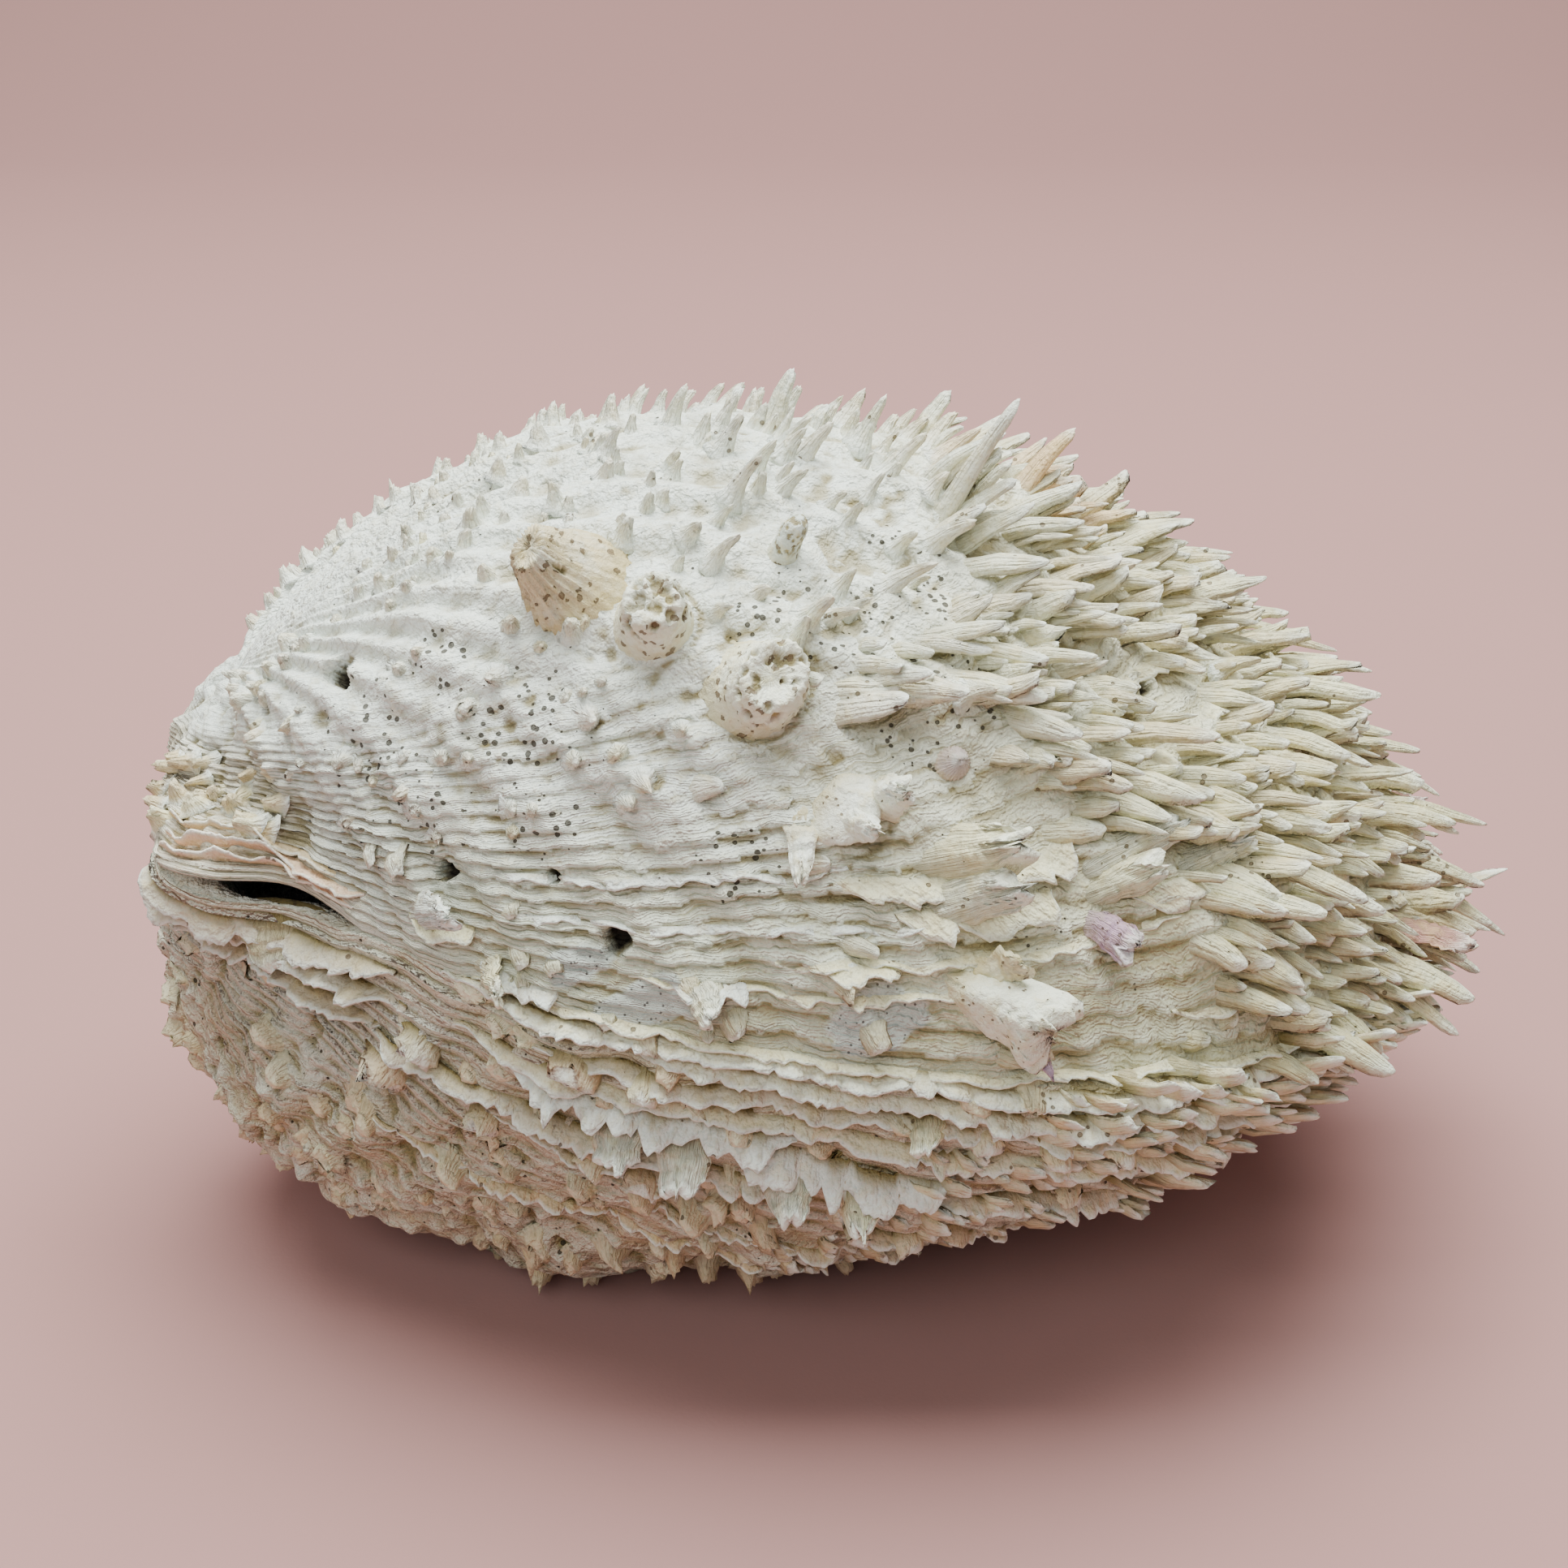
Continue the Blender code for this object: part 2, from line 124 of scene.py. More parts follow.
# Placed growths of the upper valve, by share of the growth and of the way round
STUMPS = {
    (0.645, 0.160): (8.0, 0.25, 11.0, 0.72),
    (0.550, 0.170): (7.5, 0.15, 10.0, 0.80),
    (0.445, 0.177): (8.0, 0.35, 12.0, 0.75),
    (0.540, 0.102): (5.0, 0.20, 5.5, 0.65),
}
LONG_SPINES = {
    (0.485, 0.047): (18.0, 0.08),
    (0.440, 0.990): (9.5, 0.3),
    (0.465, 0.950): (8.5, 0.3),
    (0.560, 0.975): (7.0, 0.2),
}
HOLES = {
    (0.705, 0.292): (3.8, 3.0),
    (0.140, 0.297): (3.0, 2.6),
    (0.225, 0.340): (2.4, 2.0),
    (0.240, 0.3025): (1.6, 1.5),
    (0.290, 0.0775): (2.0, 1.8),
}
GUESTS = {"fold_shell": ((6, 6), (10, 12)), "cup_shell": ((2, 2), (10, 11))}


def through(points, count):
    """Points spaced evenly along a smooth curve through the given ones."""
    p = np.array(points, float)
    p = np.vstack([2 * p[0] - p[1], p, 2 * p[-1] - p[-2]])
    t = np.linspace(0, 1, 12, endpoint=False)[:, None]
    runs = []
    for a, b, c, d in zip(p, p[1:], p[2:], p[3:]):
        runs.append(0.5 * (2 * b + (c - a) * t + (2 * a - 5 * b + 4 * c - d) * t ** 2
                           + (3 * b - a - 3 * c + d) * t ** 3))
    line = np.vstack(runs + [p[-2:-1]])
    arc = np.concatenate([[0], np.cumsum(np.linalg.norm(np.diff(line, axis=0), axis=1))])
    even = np.linspace(0, arc[-1], count)
    return np.stack([np.interp(even, arc, line[:, k]) for k in range(line.shape[1])], -1)


def whole_margin(count):
    """Both margins from the front tip along the near side and the hinge, back along the far side."""
    half = [(a, b, c, d) for (a, b), (c, d) in zip(MARGIN, YOUNG_MARGIN)]
    half = through([(half[1][0], -half[1][1], half[1][2], -half[1][3])] + half, 3000)
    half = half[int(np.argmax(half[:, 0])):]
    half[0, 1] = half[0, 3] = 0
    arc = np.concatenate([[0], np.cumsum(np.hypot(*np.diff(half[:, :2], axis=0).T))])
    even = np.linspace(0, arc[-1], count // 2 + 1)
    far = np.stack([np.interp(even, arc, half[:, k]) for k in range(4)], -1)
    near = far * np.array([1, -1, 1, -1])
    return np.vstack([near, far[-2::-1]])


MARGIN_LOOP = whole_margin(720)
PATHS = {name: (through(v["front"], 400), through(v["back"], 400)) for name, v in VALVES.items()}
TURN = Matrix.Rotation(YAW, 4, "Z") @ Matrix.Rotation(PITCH, 4, "Y")
PLACING = np.array(Matrix.Translation(HINGE) @ TURN)


def smooth(a, b, x):
    t = np.clip((np.asarray(x, float) - a) / (b - a), 0, 1)
    return t * t * (3 - 2 * t)


def unit(v):
    return v / np.maximum(np.linalg.norm(v, axis=-1, keepdims=True), 1e-9)


def rest(p):
    """From the hinge frame to the resting shell, in millimetres."""
    return p @ PLACING[:3, :3].T + PLACING[:3, 3]


DOWN = np.array([0.0, 0.0, -1.0]) @ PLACING[:3, :3]
FORWARD = np.array([1.0, 0.0, 0.0])


def margin(phi, young=0.0):
    """Margin point at this share of the way round."""
    at = np.mod(phi, 1.0)
    share = np.linspace(0, 1, len(MARGIN_LOOP))
    x, y, young_x, young_y = (np.interp(at, share, MARGIN_LOOP[:, k]) for k in range(4))
    return x + (young_x - x) * young, y + (young_y - y) * young


def slit(phi):
    """How far the margin stays open here, from 0 to 1."""
    x, y = margin(phi)
    open_here = np.clip(1 - ((x - SLIT_MIDDLE) / SLIT_REACH) ** 2, 0, 1) ** 0.6
    return open_here * smooth(-21, -27, y)


def surface(name, tau, phi):
    """Smooth valve: tau runs from the margin (0) to the beak (1), phi round the margin."""
    valve = VALVES[name]
    front, back = PATHS[name]
    at = np.linspace(0, 1, len(front))
    fx, fz = np.interp(tau, at, front[:, 0]), np.interp(tau, at, front[:, 1])
    bx, bz = np.interp(tau, at, back[:, 0]), np.interp(tau, at, back[:, 1])
    mx, my = margin(phi, smooth(0.0, 0.3, tau))
    share = (mx + 2.0) / (LENGTH + 2.0)
    width = (np.hypot(fx - bx, fz - bz) / (LENGTH + 2.0)) ** valve["fullness"]
    opening = RIM_GAP / 2 + SLIT_HEIGHT / 2 * slit(phi) * (1 - smooth(0, 0.35, tau))
    z = bz + share * (fz - bz) + opening
    return np.stack([bx + share * (fx - bx), my * width, valve["side"] * z], -1)


def frames(name, tau, phi):
    """Place, outward normal and growth direction of the smooth valve."""
    tau, phi = np.broadcast_arrays(np.asarray(tau, float), np.asarray(phi, float))
    step = 0.004
    p = surface(name, tau, phi)
    along = surface(name, np.maximum(tau - step, 0), phi) - surface(name, np.minimum(tau + step, 1), phi)
    across = surface(name, tau, phi + step) - surface(name, tau, phi - step)
    normal = unit(np.cross(along, across))
    turned = ((normal * (p - MIDDLE)).sum(-1, keepdims=True) < 0)
    return p, np.where(turned, -normal, normal), unit(along)


# Odd factors that stir the whole numbers of the noise
HASH = (374761393, 668265263, 1274126177, 974634777, 2246822519)
WORD = 0xFFFFFFFF


def lattice(i, seed):
    """Repeatable random value from -1 to 1 at each whole point."""
    h = i[..., 0] * HASH[0] + i[..., 1] * HASH[1] + i[..., 2] * HASH[2] + seed * HASH[3] & WORD
    h = (h ^ (h >> 13)) * HASH[2] & WORD
    h = (h ^ (h >> 15)) * HASH[4] & WORD
    return ((h ^ (h >> 16)) & 0xFFFF) / 32767.5 - 1.0


def grain(p, size, seed):
    """Smooth noise from -1 to 1 with lumps of about this size."""
    q = np.asarray(p, float) / size
    i = np.floor(q).astype(np.int64)
    f = q - i
    f = f * f * (3 - 2 * f)
    total = 0.0
    for corner in np.ndindex(2, 2, 2):
        weight = np.prod(np.where(np.array(corner) == 1, f, 1 - f), axis=-1)
        total = total + weight * lattice(i + np.array(corner), seed)
    return total


def clouds(p, size, seed, octaves=3):
    return sum(grain(p, size / 2 ** k, seed + 7 * k) / 2 ** k for k in range(octaves)) / 1.6


def blurred(grid, reach):
    """Average over this many neighbours each way, on a grid that closes round its columns."""
    width = 2 * reach + 1
    across = sum(np.roll(grid, k, 1) for k in range(-reach, reach + 1)) / width
    padded = np.pad(across, ((reach, reach), (0, 0)), mode="edge")
    return sum(padded[k:k + len(grid)] for k in range(width)) / width


def steps_of(whole, seed):
    """Repeatable random value from -1 to 1 for each step along a line or a growth."""
    return lattice(np.stack([whole, whole * 0, whole * 0], -1).astype(np.int64), seed)


def ring_at(j):
    return (j / RINGS) ** CROWDING * LAST_RING


def cell_at(tau, phi):
    return int((tau / LAST_RING) ** (1 / CROWDING) * RINGS), int(phi * COLUMNS)


def cell_middle(j, i):
    return (ring_at(j) + ring_at(j + 1)) / 2, (i + 0.5) / COLUMNS


def kept_clear(name, j, i):
    """True where a settled shell sits or hangs over the grid."""
    if name != "upper_valve":
        return False
    for (low, high), (left, right) in GUESTS.values():
        if low - 3 <= j <= high + 1 and left - 2 <= i <= right + 1:
            return True
    return False


def spine_rows(name):
    """The solids' spines of one valve: cell, length, lean, and whether it is a broad one."""
    rng = random.Random(VALVES[name]["seed"])
    found = {}
    for j in range(RINGS - 4):
        for i in range(COLUMNS):
            x, y = margin((i + 0.5) / COLUMNS)
            chance, size = rng.random(), rng.uniform(0.75, 1.25)
            reach = float(smooth(95, 165, x))
            side = float(1 - NEAR_LOSS * smooth(8, 40, -y) - FAR_LOSS * smooth(8, 40, y))
            out_here = surface(name, *cell_middle(j, i))[0]
            worn = BEAK_SHARE + (1 - BEAK_SHARE) * float(smooth(30, 75, out_here))
            staggered = (i + j // 2) % 2 == 0 and j % 2 == 0
            if x < 12 or x < 26 and j < 5 or kept_clear(name, j, i):
                continue
            if name == "upper_valve":
                if x > 100 and j < 7 and staggered:
                    found[j, i] = (size * side * (8 + 9 * reach) * (1 - 0.06 * j), 0.9, "blade")
                elif x > 20 and 1 < j < 12 and chance < 0.12:
                    found[j, i] = (size * worn * 5.5, 0.7, "cone")
                elif 40 < x < 100 and j in (1, 3) and chance < 0.35:
                    found[j, i] = (size * 5.0, 1.3, "tab")
            elif x > 105 and j < 5 and staggered:
                found[j, i] = (size * side * (7 + 7 * reach), 0.8, "blade")
            elif x > 30 and j in (1, 3, 5) and chance < 0.3:
                found[j, i] = (size * 5.0, 0.8, "tab")
            elif 5 < j < 12 and chance < 0.11:
                found[j, i] = (size * 4.2, 0.3, "cone")
    if name == "upper_valve":
        for j, i in [cell_at(*at) for at in list(STUMPS) + list(LONG_SPINES) + list(HOLES)[:3]]:
            for near in [(j + a, (i + b) % COLUMNS) for a in (-1, 0, 1) for b in (-2, -1, 0, 1, 2)]:
                found.pop(near, None)
        for at, (length, lean) in LONG_SPINES.items():
            found[cell_at(*at)] = (length, lean, "long")
    return found


def band_faces(rows, columns):
    """Quads between closed rows of corners."""
    r = np.arange(rows - 1)[:, None] * columns
    c = np.arange(columns)[None]
    a, b = r + c, r + (c + 1) % columns
    return np.stack([a, b, b + columns, a + columns], -1).reshape(-1, 4)


def fan_faces(first, columns, tip, turned=False):
    c = np.arange(columns)
    fan = np.stack([first + c, first + (c + 1) % columns, np.full(columns, tip)], -1)
    return fan[:, ::-1] if turned else fan


def make(name, points, quads, triangles, attributes, material):
    """One smooth mesh in the row frame from points in the hinge frame, facing outwards."""
    points = rest(points)
    points[:, 2] = np.maximum(points[:, 2], 0.0)
    corners = np.vstack([quads[:, [0, 1, 2]], quads[:, [0, 2, 3]], triangles]) if len(quads) else triangles
    a, b, c = (points[corners[:, k]] for k in range(3))
    if (a * np.cross(b, c)).sum() < 0:
        quads, triangles = quads[:, ::-1], triangles[:, ::-1]
    mesh = bpy.data.meshes.new(name)
    mesh.vertices.add(len(points))
    mesh.vertices.foreach_set("co", (points * MM).astype(np.float32).ravel())
    loops = np.concatenate([quads.ravel(), triangles.ravel()]).astype(np.int32)
    starts = np.concatenate([np.arange(len(quads)) * 4, len(quads) * 4 + np.arange(len(triangles)) * 3])
    mesh.loops.add(len(loops))
    mesh.loops.foreach_set("vertex_index", loops)
    mesh.polygons.add(len(starts))
    mesh.polygons.foreach_set("loop_start", starts.astype(np.int32))
    mesh.update(calc_edges=True)
    mesh.shade_smooth()
    for key, values in attributes.items():
        values = np.asarray(values, np.float32)
        if values.ndim == 2:
            layer = mesh.attributes.new(key, "FLOAT_COLOR", "POINT")
            opaque = np.hstack([values, np.ones((len(values), 1))])
            layer.data.foreach_set("color", opaque.astype(np.float32).ravel())
        else:
            layer = mesh.attributes.new(key, "FLOAT", "POINT")
            layer.data.foreach_set("value", values.ravel())
    mesh.materials.append(material)
    obj = bpy.data.objects.new(name, mesh)
    bpy.context.scene.collection.objects.link(obj)
    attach(obj, "root")
    return obj


def mix(a, b, share):
    share = np.asarray(share)[..., None]
    return np.asarray(a) * (1 - share) + np.asarray(b) * share


# Colours of the shell, from the snowy dome to the brown underside, then those of what grows on it, of
# the paper below it, and of pores and crusts, and the near black painted shade inside holes
WHITE = np.array([0.87, 0.92, 0.86])
CREAM = np.array([0.92, 0.89, 0.62])
BAND_GREY = np.array([0.74, 0.76, 0.54])
OCHRE = np.array([0.64, 0.50, 0.19])
TAN = np.array([0.70, 0.56, 0.36])
ROSE = np.array([0.68, 0.63, 0.50])
PINK_BEIGE = np.array([0.58, 0.50, 0.36])
BROWN = np.array([0.42, 0.28, 0.15])
SALMON = np.array([0.86, 0.62, 0.46])
ORANGE = np.array([0.92, 0.62, 0.34])
LILAC = np.array([0.54, 0.36, 0.47])
RED_BROWN = np.array([0.55, 0.29, 0.24])
CRUST_GREY = np.array([0.60, 0.64, 0.58])
CUP_TINT = np.array([0.90, 0.92, 0.76])
FOLD_TINT = np.array([0.89, 0.91, 0.80])
STAGE_PINK = np.array([0.40, 0.222, 0.207])
PORE_BLACK = np.array([0.05, 0.04, 0.025])
CRUST_BLACK = np.array([0.07, 0.065, 0.06])
HOLE_SHADE = np.array([0.03, 0.022, 0.015])


def shell_tint(name, tau, phi, p):
    """Broad colour zones of a valve."""
    mx = margin(phi)[0]
    wide = clouds(p, 34, 5)
    small = clouds(p, 9, 61)
    if name == "upper_valve":
        warm = smooth(60, 150, p[..., 0] + 22 * wide + 30 * (0.35 - tau))
        warm = warm * (1 - 0.55 * smooth(0.35, 0.7, tau))
        tint = mix(WHITE, CREAM, np.clip(warm + 0.12 * small, 0, 1))
        low_band = (1 - smooth(0.12, 0.42, tau + 0.08 * wide)) * smooth(18, 50, mx)
        tint = mix(tint, BAND_GREY, 0.55 * low_band)
        # Painted shade: the dome is painted darker next to the margin, where its lower flank turns from the
        # light
        low_rim_shade = (1 - smooth(0.03, 0.16, tau + 0.04 * wide)) * smooth(30, 60, mx)
        tint = mix(tint, BAND_GREY * 0.68, 0.75 * low_rim_shade)
        stain = smooth(0.15, 0.6, small + 0.35 * wide) * (0.15 + 0.35 * low_band)
        tint = mix(tint, OCHRE, 0.5 * stain)
        ear = (1 - smooth(16, 30, mx)) * (1 - smooth(0.35, 0.6, tau))
        tint = mix(tint, mix(TAN, SALMON, smooth(-0.2, 0.4, wide)), 0.6 * ear)
        # Painted shade: the front zone between the blades is painted darker ochre, so that the blades stand
        # out light on it
        deep = smooth(96, 120, mx) * (1 - smooth(0.34, 0.5, tau))
        return mix(tint, OCHRE * 0.8, 0.24 * deep)
    deep = smooth(0.0, 0.12, tau + 0.05 * wide)
    # Painted shade: the front of the lower valve, seen between its lamellae, is painted browner
    gap_shade = 0.35 * smooth(35, 60, mx)
    tint = mix(mix(CREAM, ROSE, deep), BROWN, gap_shade)
    tint = mix(tint, PINK_BEIGE, smooth(0.12, 0.4, tau + 0.1 * wide))
    tint = mix(tint, BROWN * 1.25, 0.55 * smooth(0.0, 0.5, small + 0.3 * wide) * smooth(0.15, 0.4, tau))
    ear = (1 - smooth(36, 56, mx)) * (1 - smooth(0.35, 0.6, tau))
    tint = mix(tint, mix(WHITE, ROSE, 0.4), 0.55 * ear)
    umbo = smooth(0.5, 0.8, tau)
    tint = mix(tint, TAN, 0.5 * umbo * smooth(-0.3, 0.4, small))
    return mix(tint, WHITE, 0.25 * smooth(0.1, 0.6, -small) * deep)


class Valve:
    """Fine grid of one valve, with the height of every growth line, rib, lump and pit."""

    def __init__(self, name):
        self.name = name
        near = np.linspace(0, 0.5, NEAR_COLUMNS, endpoint=False)
        self.phi = np.concatenate([near, np.linspace(0.5, 1, FAR_COLUMNS, endpoint=False)])
        self.tau = np.linspace(0, 1, OUTER_ROWS) ** 1.04 * 0.985
        self.T, self.P = np.meshgrid(self.tau, self.phi, indexing="ij")
        self.base, self.normal, self.along = frames(name, self.T, self.P)
        self.mx = margin(self.P)[0]
        self.pores = np.zeros_like(self.T)
        self.crust = np.zeros_like(self.T)
        self.finely_banded = VALVES[name]["banded"]
        self.hole_shade = np.zeros_like(self.T)
        self.height = self.relief()

    def lines(self):
        """Growth coordinate in lamellae, with the waves that the ribs give it."""
        on = smooth(14, 40, self.mx) * (1 - smooth(0.55, 0.8, self.T))
        wander = 0.6 * clouds(self.base, 15, 8) + 0.16 * clouds(self.base, 4.5, 21, 2)
        return LAMELLAE * self.T + wander + 0.11 * self.waves() * on

    def waves(self):
        """Small ribs, uneven in width and depth."""
        sway = 2.6 * clouds(self.base, 20, 3) + 1.0 * clouds(self.base, 7, 4, 2)
        depth = smooth(-0.6, 0.5, clouds(self.base, 13, 9, 2))
        return depth * np.cos(2 * np.pi * FINE_RIBS * self.P + sway)

    def relief(self):
        valve = VALVES[self.name]
        upper = self.name == "upper_valve"
        off_ear = smooth(14, 40, self.mx)
        fade = 1 - smooth(0.75, 1.0, self.T)
        flat = self.base.reshape(-1, 3)
        big = np.array([noise.noise(Vector(q) / 17.0 + Vector((valve["seed"], 0, 0))) for q in flat])
        lumps = valve["lumps"] * big.reshape(self.T.shape) * (0.5 + 1.1 * smooth(0.25, 0.75, self.T))
        ribs = 0.8 * valve["ribs"] * np.cos(2 * np.pi * RIBS * self.P) * off_ear * fade
        fine = self.waves()
        patch = clouds(self.base, 16, 12)
        ribs += (0.20 + 0.12 * patch) * fine * off_ear * (1 - smooth(0.35, 0.6, self.T))
        g = self.lines()
        cell, part = np.floor(g), g - np.floor(g)
        strength = 0.35 + 0.65 * (0.5 + 0.5 * steps_of(cell, 5))
        strength = strength * (0.65 + 0.5 * clouds(self.base, 12, 31))
        edge = (1.15 if upper else 1.2) * (1 - smooth(0.42, 0.62, self.T)) + (0.22 if upper else 0.6)
        ledge = edge * strength * (1 - part) ** 1.4 * smooth(0.0, 0.02, self.T) * fade
        rough = clouds(self.base, 3.4, 41, 2)
        knobs = np.maximum(rough, 0) ** 1.5 * smooth(0.22, 0.5, self.T + 0.12 * patch)
        pits = np.maximum(clouds(self.base, 2.6, 77, 2) - 0.28, 0) * smooth(0.15, 0.4, self.T)
        if upper:
            texture = 1.1 * knobs - 1.8 * pits * smooth(-0.2, 0.3, patch)
            texture = texture + 0.8 * clouds(self.base, 5.0, 93, 3) * smooth(0.2, 0.45, self.T)
            ear = (1 - smooth(20, 34, self.mx)) * smooth(0.03, 0.1, self.T)
            texture = texture + ear * (2.8 * clouds(self.base, 5.5, 44, 3) + 1.8 * knobs)
        else:
            texture = 3.0 * knobs - 4.2 * pits
            lumpy = smooth(0.10, 0.4, self.T) * (0.5 + 0.5 * smooth(0.3, 0.6, self.T))
            rolling = 2.0 * clouds(self.base, 7.5, 90, 2) + 1.4 * clouds(self.base, 3.9, 71, 2)
            texture = texture + rolling * lumpy
        young = 1 - smooth(0.5, 0.7, self.T)
        # Darker colour under each ledge's overhang, in pits and in the crack: partly stain, partly painted
        # shade
        self.stain_and_shade = smooth(0.55, 1.0, part) * strength * young + 2.0 * pits
        if upper:
            run = smooth(0.155, 0.165, self.P) * (1 - smooth(0.222, 0.235, self.P))
            crack = np.exp(-((self.T - 0.204 - 0.012 * patch) / 0.006) ** 2) * run
            self.stain_and_shade = self.stain_and_shade + 1.2 * crack
            texture = texture - 1.2 * crack
        self.growth = g
        return ribs + lumps + ledge + texture * fade

    def distance(self, centre, scale=(1.0, 1.0)):
        """Distance of the grid from a point, stretched across and along the growth."""
        p, normal, along = frames(self.name, *centre)
        side = np.cross(normal, along)
        away = self.base - p
        u, v, w = ((away * axis).sum(-1) for axis in (side, along, normal))
        return np.sqrt((u / scale[0]) ** 2 + (v / scale[1]) ** 2 + w ** 2), u, v

    def bore(self, at, width, depth):
        d, u, v = self.distance(at)
        d = d * (1 + 0.15 * np.sin(3 * np.arctan2(v, u) + width))
        bowl = 1 - smooth(width * 0.36, width * 0.56, d)
        self.height -= depth * bowl
        # Mask of the hole's floor, which is painted near black as shade
        self.hole_shade = np.maximum(self.hole_shade, smooth(0.3, 0.9, bowl))

    def swell(self, sites):
        """Raises the surface where spines grow out of it, drawn out towards the beak."""
        for tau, phi, width, height in sites:
            r0, r1 = np.searchsorted(self.tau, [tau - 0.05, tau + 0.09])
            near = np.abs(np.mod(self.phi - phi + 0.5, 1) - 0.5) < 0.018 + 0.006 * smooth(0.3, 0.8, tau) * 4
            c = np.nonzero(near)[0]
            if not len(c) or r1 <= r0:
                continue
            block = np.ix_(np.arange(r0, r1), c)
            p, normal, along = frames(self.name, tau, phi)
            away = self.base[block] - p
            v = (away * along).sum(-1)
            across = np.linalg.norm(away - v[..., None] * along, axis=-1)
            reach = np.where(v < 0, 2.1, 0.75) * width
            self.height[block] += height * np.exp(-(across / (0.55 * width)) ** 2 - (v / reach) ** 2)

    def seam(self, at, radius):
        """Sunken line round the margin side of what sits here, painted dark as a contact shadow."""
        d, _, v = self.distance(at)
        d = d + 0.8 * clouds(self.base, 4.0, 17)
        line = np.exp(-((d - radius) / 0.45) ** 2) * smooth(-2.0, 3.0, v)
        # The line is painted dark as a contact shadow and is also sunk into the surface
        self.stain_and_shade += 0.45 * line
        self.height -= SEAM_DEPTH * line

    def seat(self, at, radius, height):
        """Even ground under a stump."""
        inside = 1 - smooth(radius * 0.7, radius * 1.2, self.distance(at)[0])
        self.height = self.height * (1 - inside) + height * inside

    def bored(self, at, size):
        """A patch where a sponge bored many small pores."""
        self.pores = np.maximum(self.pores, 1 - smooth(size * 0.4, size, self.distance(at)[0]))

    def crusted(self, at, wide, high):
        """A thin grey crust that grew over the growth lines."""
        edge = self.distance(at, (wide, high))[0] + 0.5 * clouds(self.base, 3.5, 19)
        mask = 1 - smooth(0.92, 1.0, edge)
        self.crust = np.maximum(self.crust, mask)
        self.height += CRUST_HEIGHT * mask

    def place(self, tau, phi):
        """Point of the finished surface, with its normal and growth direction."""
        r = np.clip(np.searchsorted(self.tau, tau), 0, OUTER_ROWS - 1)
        c = np.searchsorted(self.phi, np.mod(phi, 1.0)) % len(self.phi)
        p, normal, along = frames(self.name, tau, phi)
        return p + normal * self.height[r, c][..., None], normal, along

    def outer(self):
        q = self.base + self.normal * self.height[..., None]
        side = VALVES[self.name]["side"]
        q[0, :, 2] = self.base[0, :, 2]
        low = self.base[0, :, 2] * side
        q[..., 2] = side * np.maximum(side * q[..., 2], low[None])
        return q

    def inner(self):
        tau = (np.arange(INNER_ROWS) / (INNER_ROWS - 1)) ** 1.5 * 0.93
        T, P = np.meshgrid(tau, self.phi, indexing="ij")
        p = surface(self.name, T, P)
        share = 1 - WALL - (EAR_WALL - WALL) * slit(P) * (1 - smooth(0.0, 0.3, T))
        q = MIDDLE + (p - MIDDLE) * share[..., None]
        q[0, :, 2] = p[0, :, 2]
        return q

    def build(self, name, material):
        outer, inner = self.outer(), self.inner()
        columns = len(self.phi)
        beak = surface(self.name, 1.0, 0.0)
        tips = np.stack([beak, MIDDLE + (beak - MIDDLE) * (1 - WALL)])
        points = np.vstack([inner[::-1].reshape(-1, 3), outer.reshape(-1, 3), tips])
        rows = INNER_ROWS + OUTER_ROWS
        quads = band_faces(rows, columns)
        caps = np.vstack([fan_faces((rows - 1) * columns, columns, rows * columns),
                          fan_faces(0, columns, rows * columns + 1, True)])
        tint = shell_tint(self.name, self.T, self.P, self.base).reshape(-1, 3)
        # Height against the local average, used to paint shade into low spots and highlights onto raised
        # spots
        relief_light_and_shade = 0.5 + 0.8 * (self.height - blurred(self.height, 2))
        relief_light_and_shade = relief_light_and_shade + 0.3 * (self.height - blurred(self.height, 7))
        near_rim = 1 - smooth(*self.finely_banded, self.T + 0.1 * clouds(self.base, 20, 2))
        unseen = INNER_ROWS * columns
        attributes = {"tint": np.vstack([np.tile(WHITE * 0.9, (unseen, 1)), tint, np.tile(WHITE, (2, 1))])}
        for key, values, inside in (("relief_light_and_shade", np.clip(relief_light_and_shade, 0, 1), 0.5), ("growth", self.growth, 0),
                                    ("stain_and_shade", np.clip(self.stain_and_shade, 0, 1), 0),
                                    ("pores", np.clip(self.pores, 0, 1), 0),
                                    ("crust", np.clip(self.crust, 0, 1), 0), ("hole_shade", self.hole_shade, 0),
                                    ("banded", near_rim * 0.65 + 0.35, 0)):
            attributes[key] = np.pad(values.ravel(), (unseen, len(tips)), constant_values=inside)
        return make(name, points, quads, caps, attributes, material)


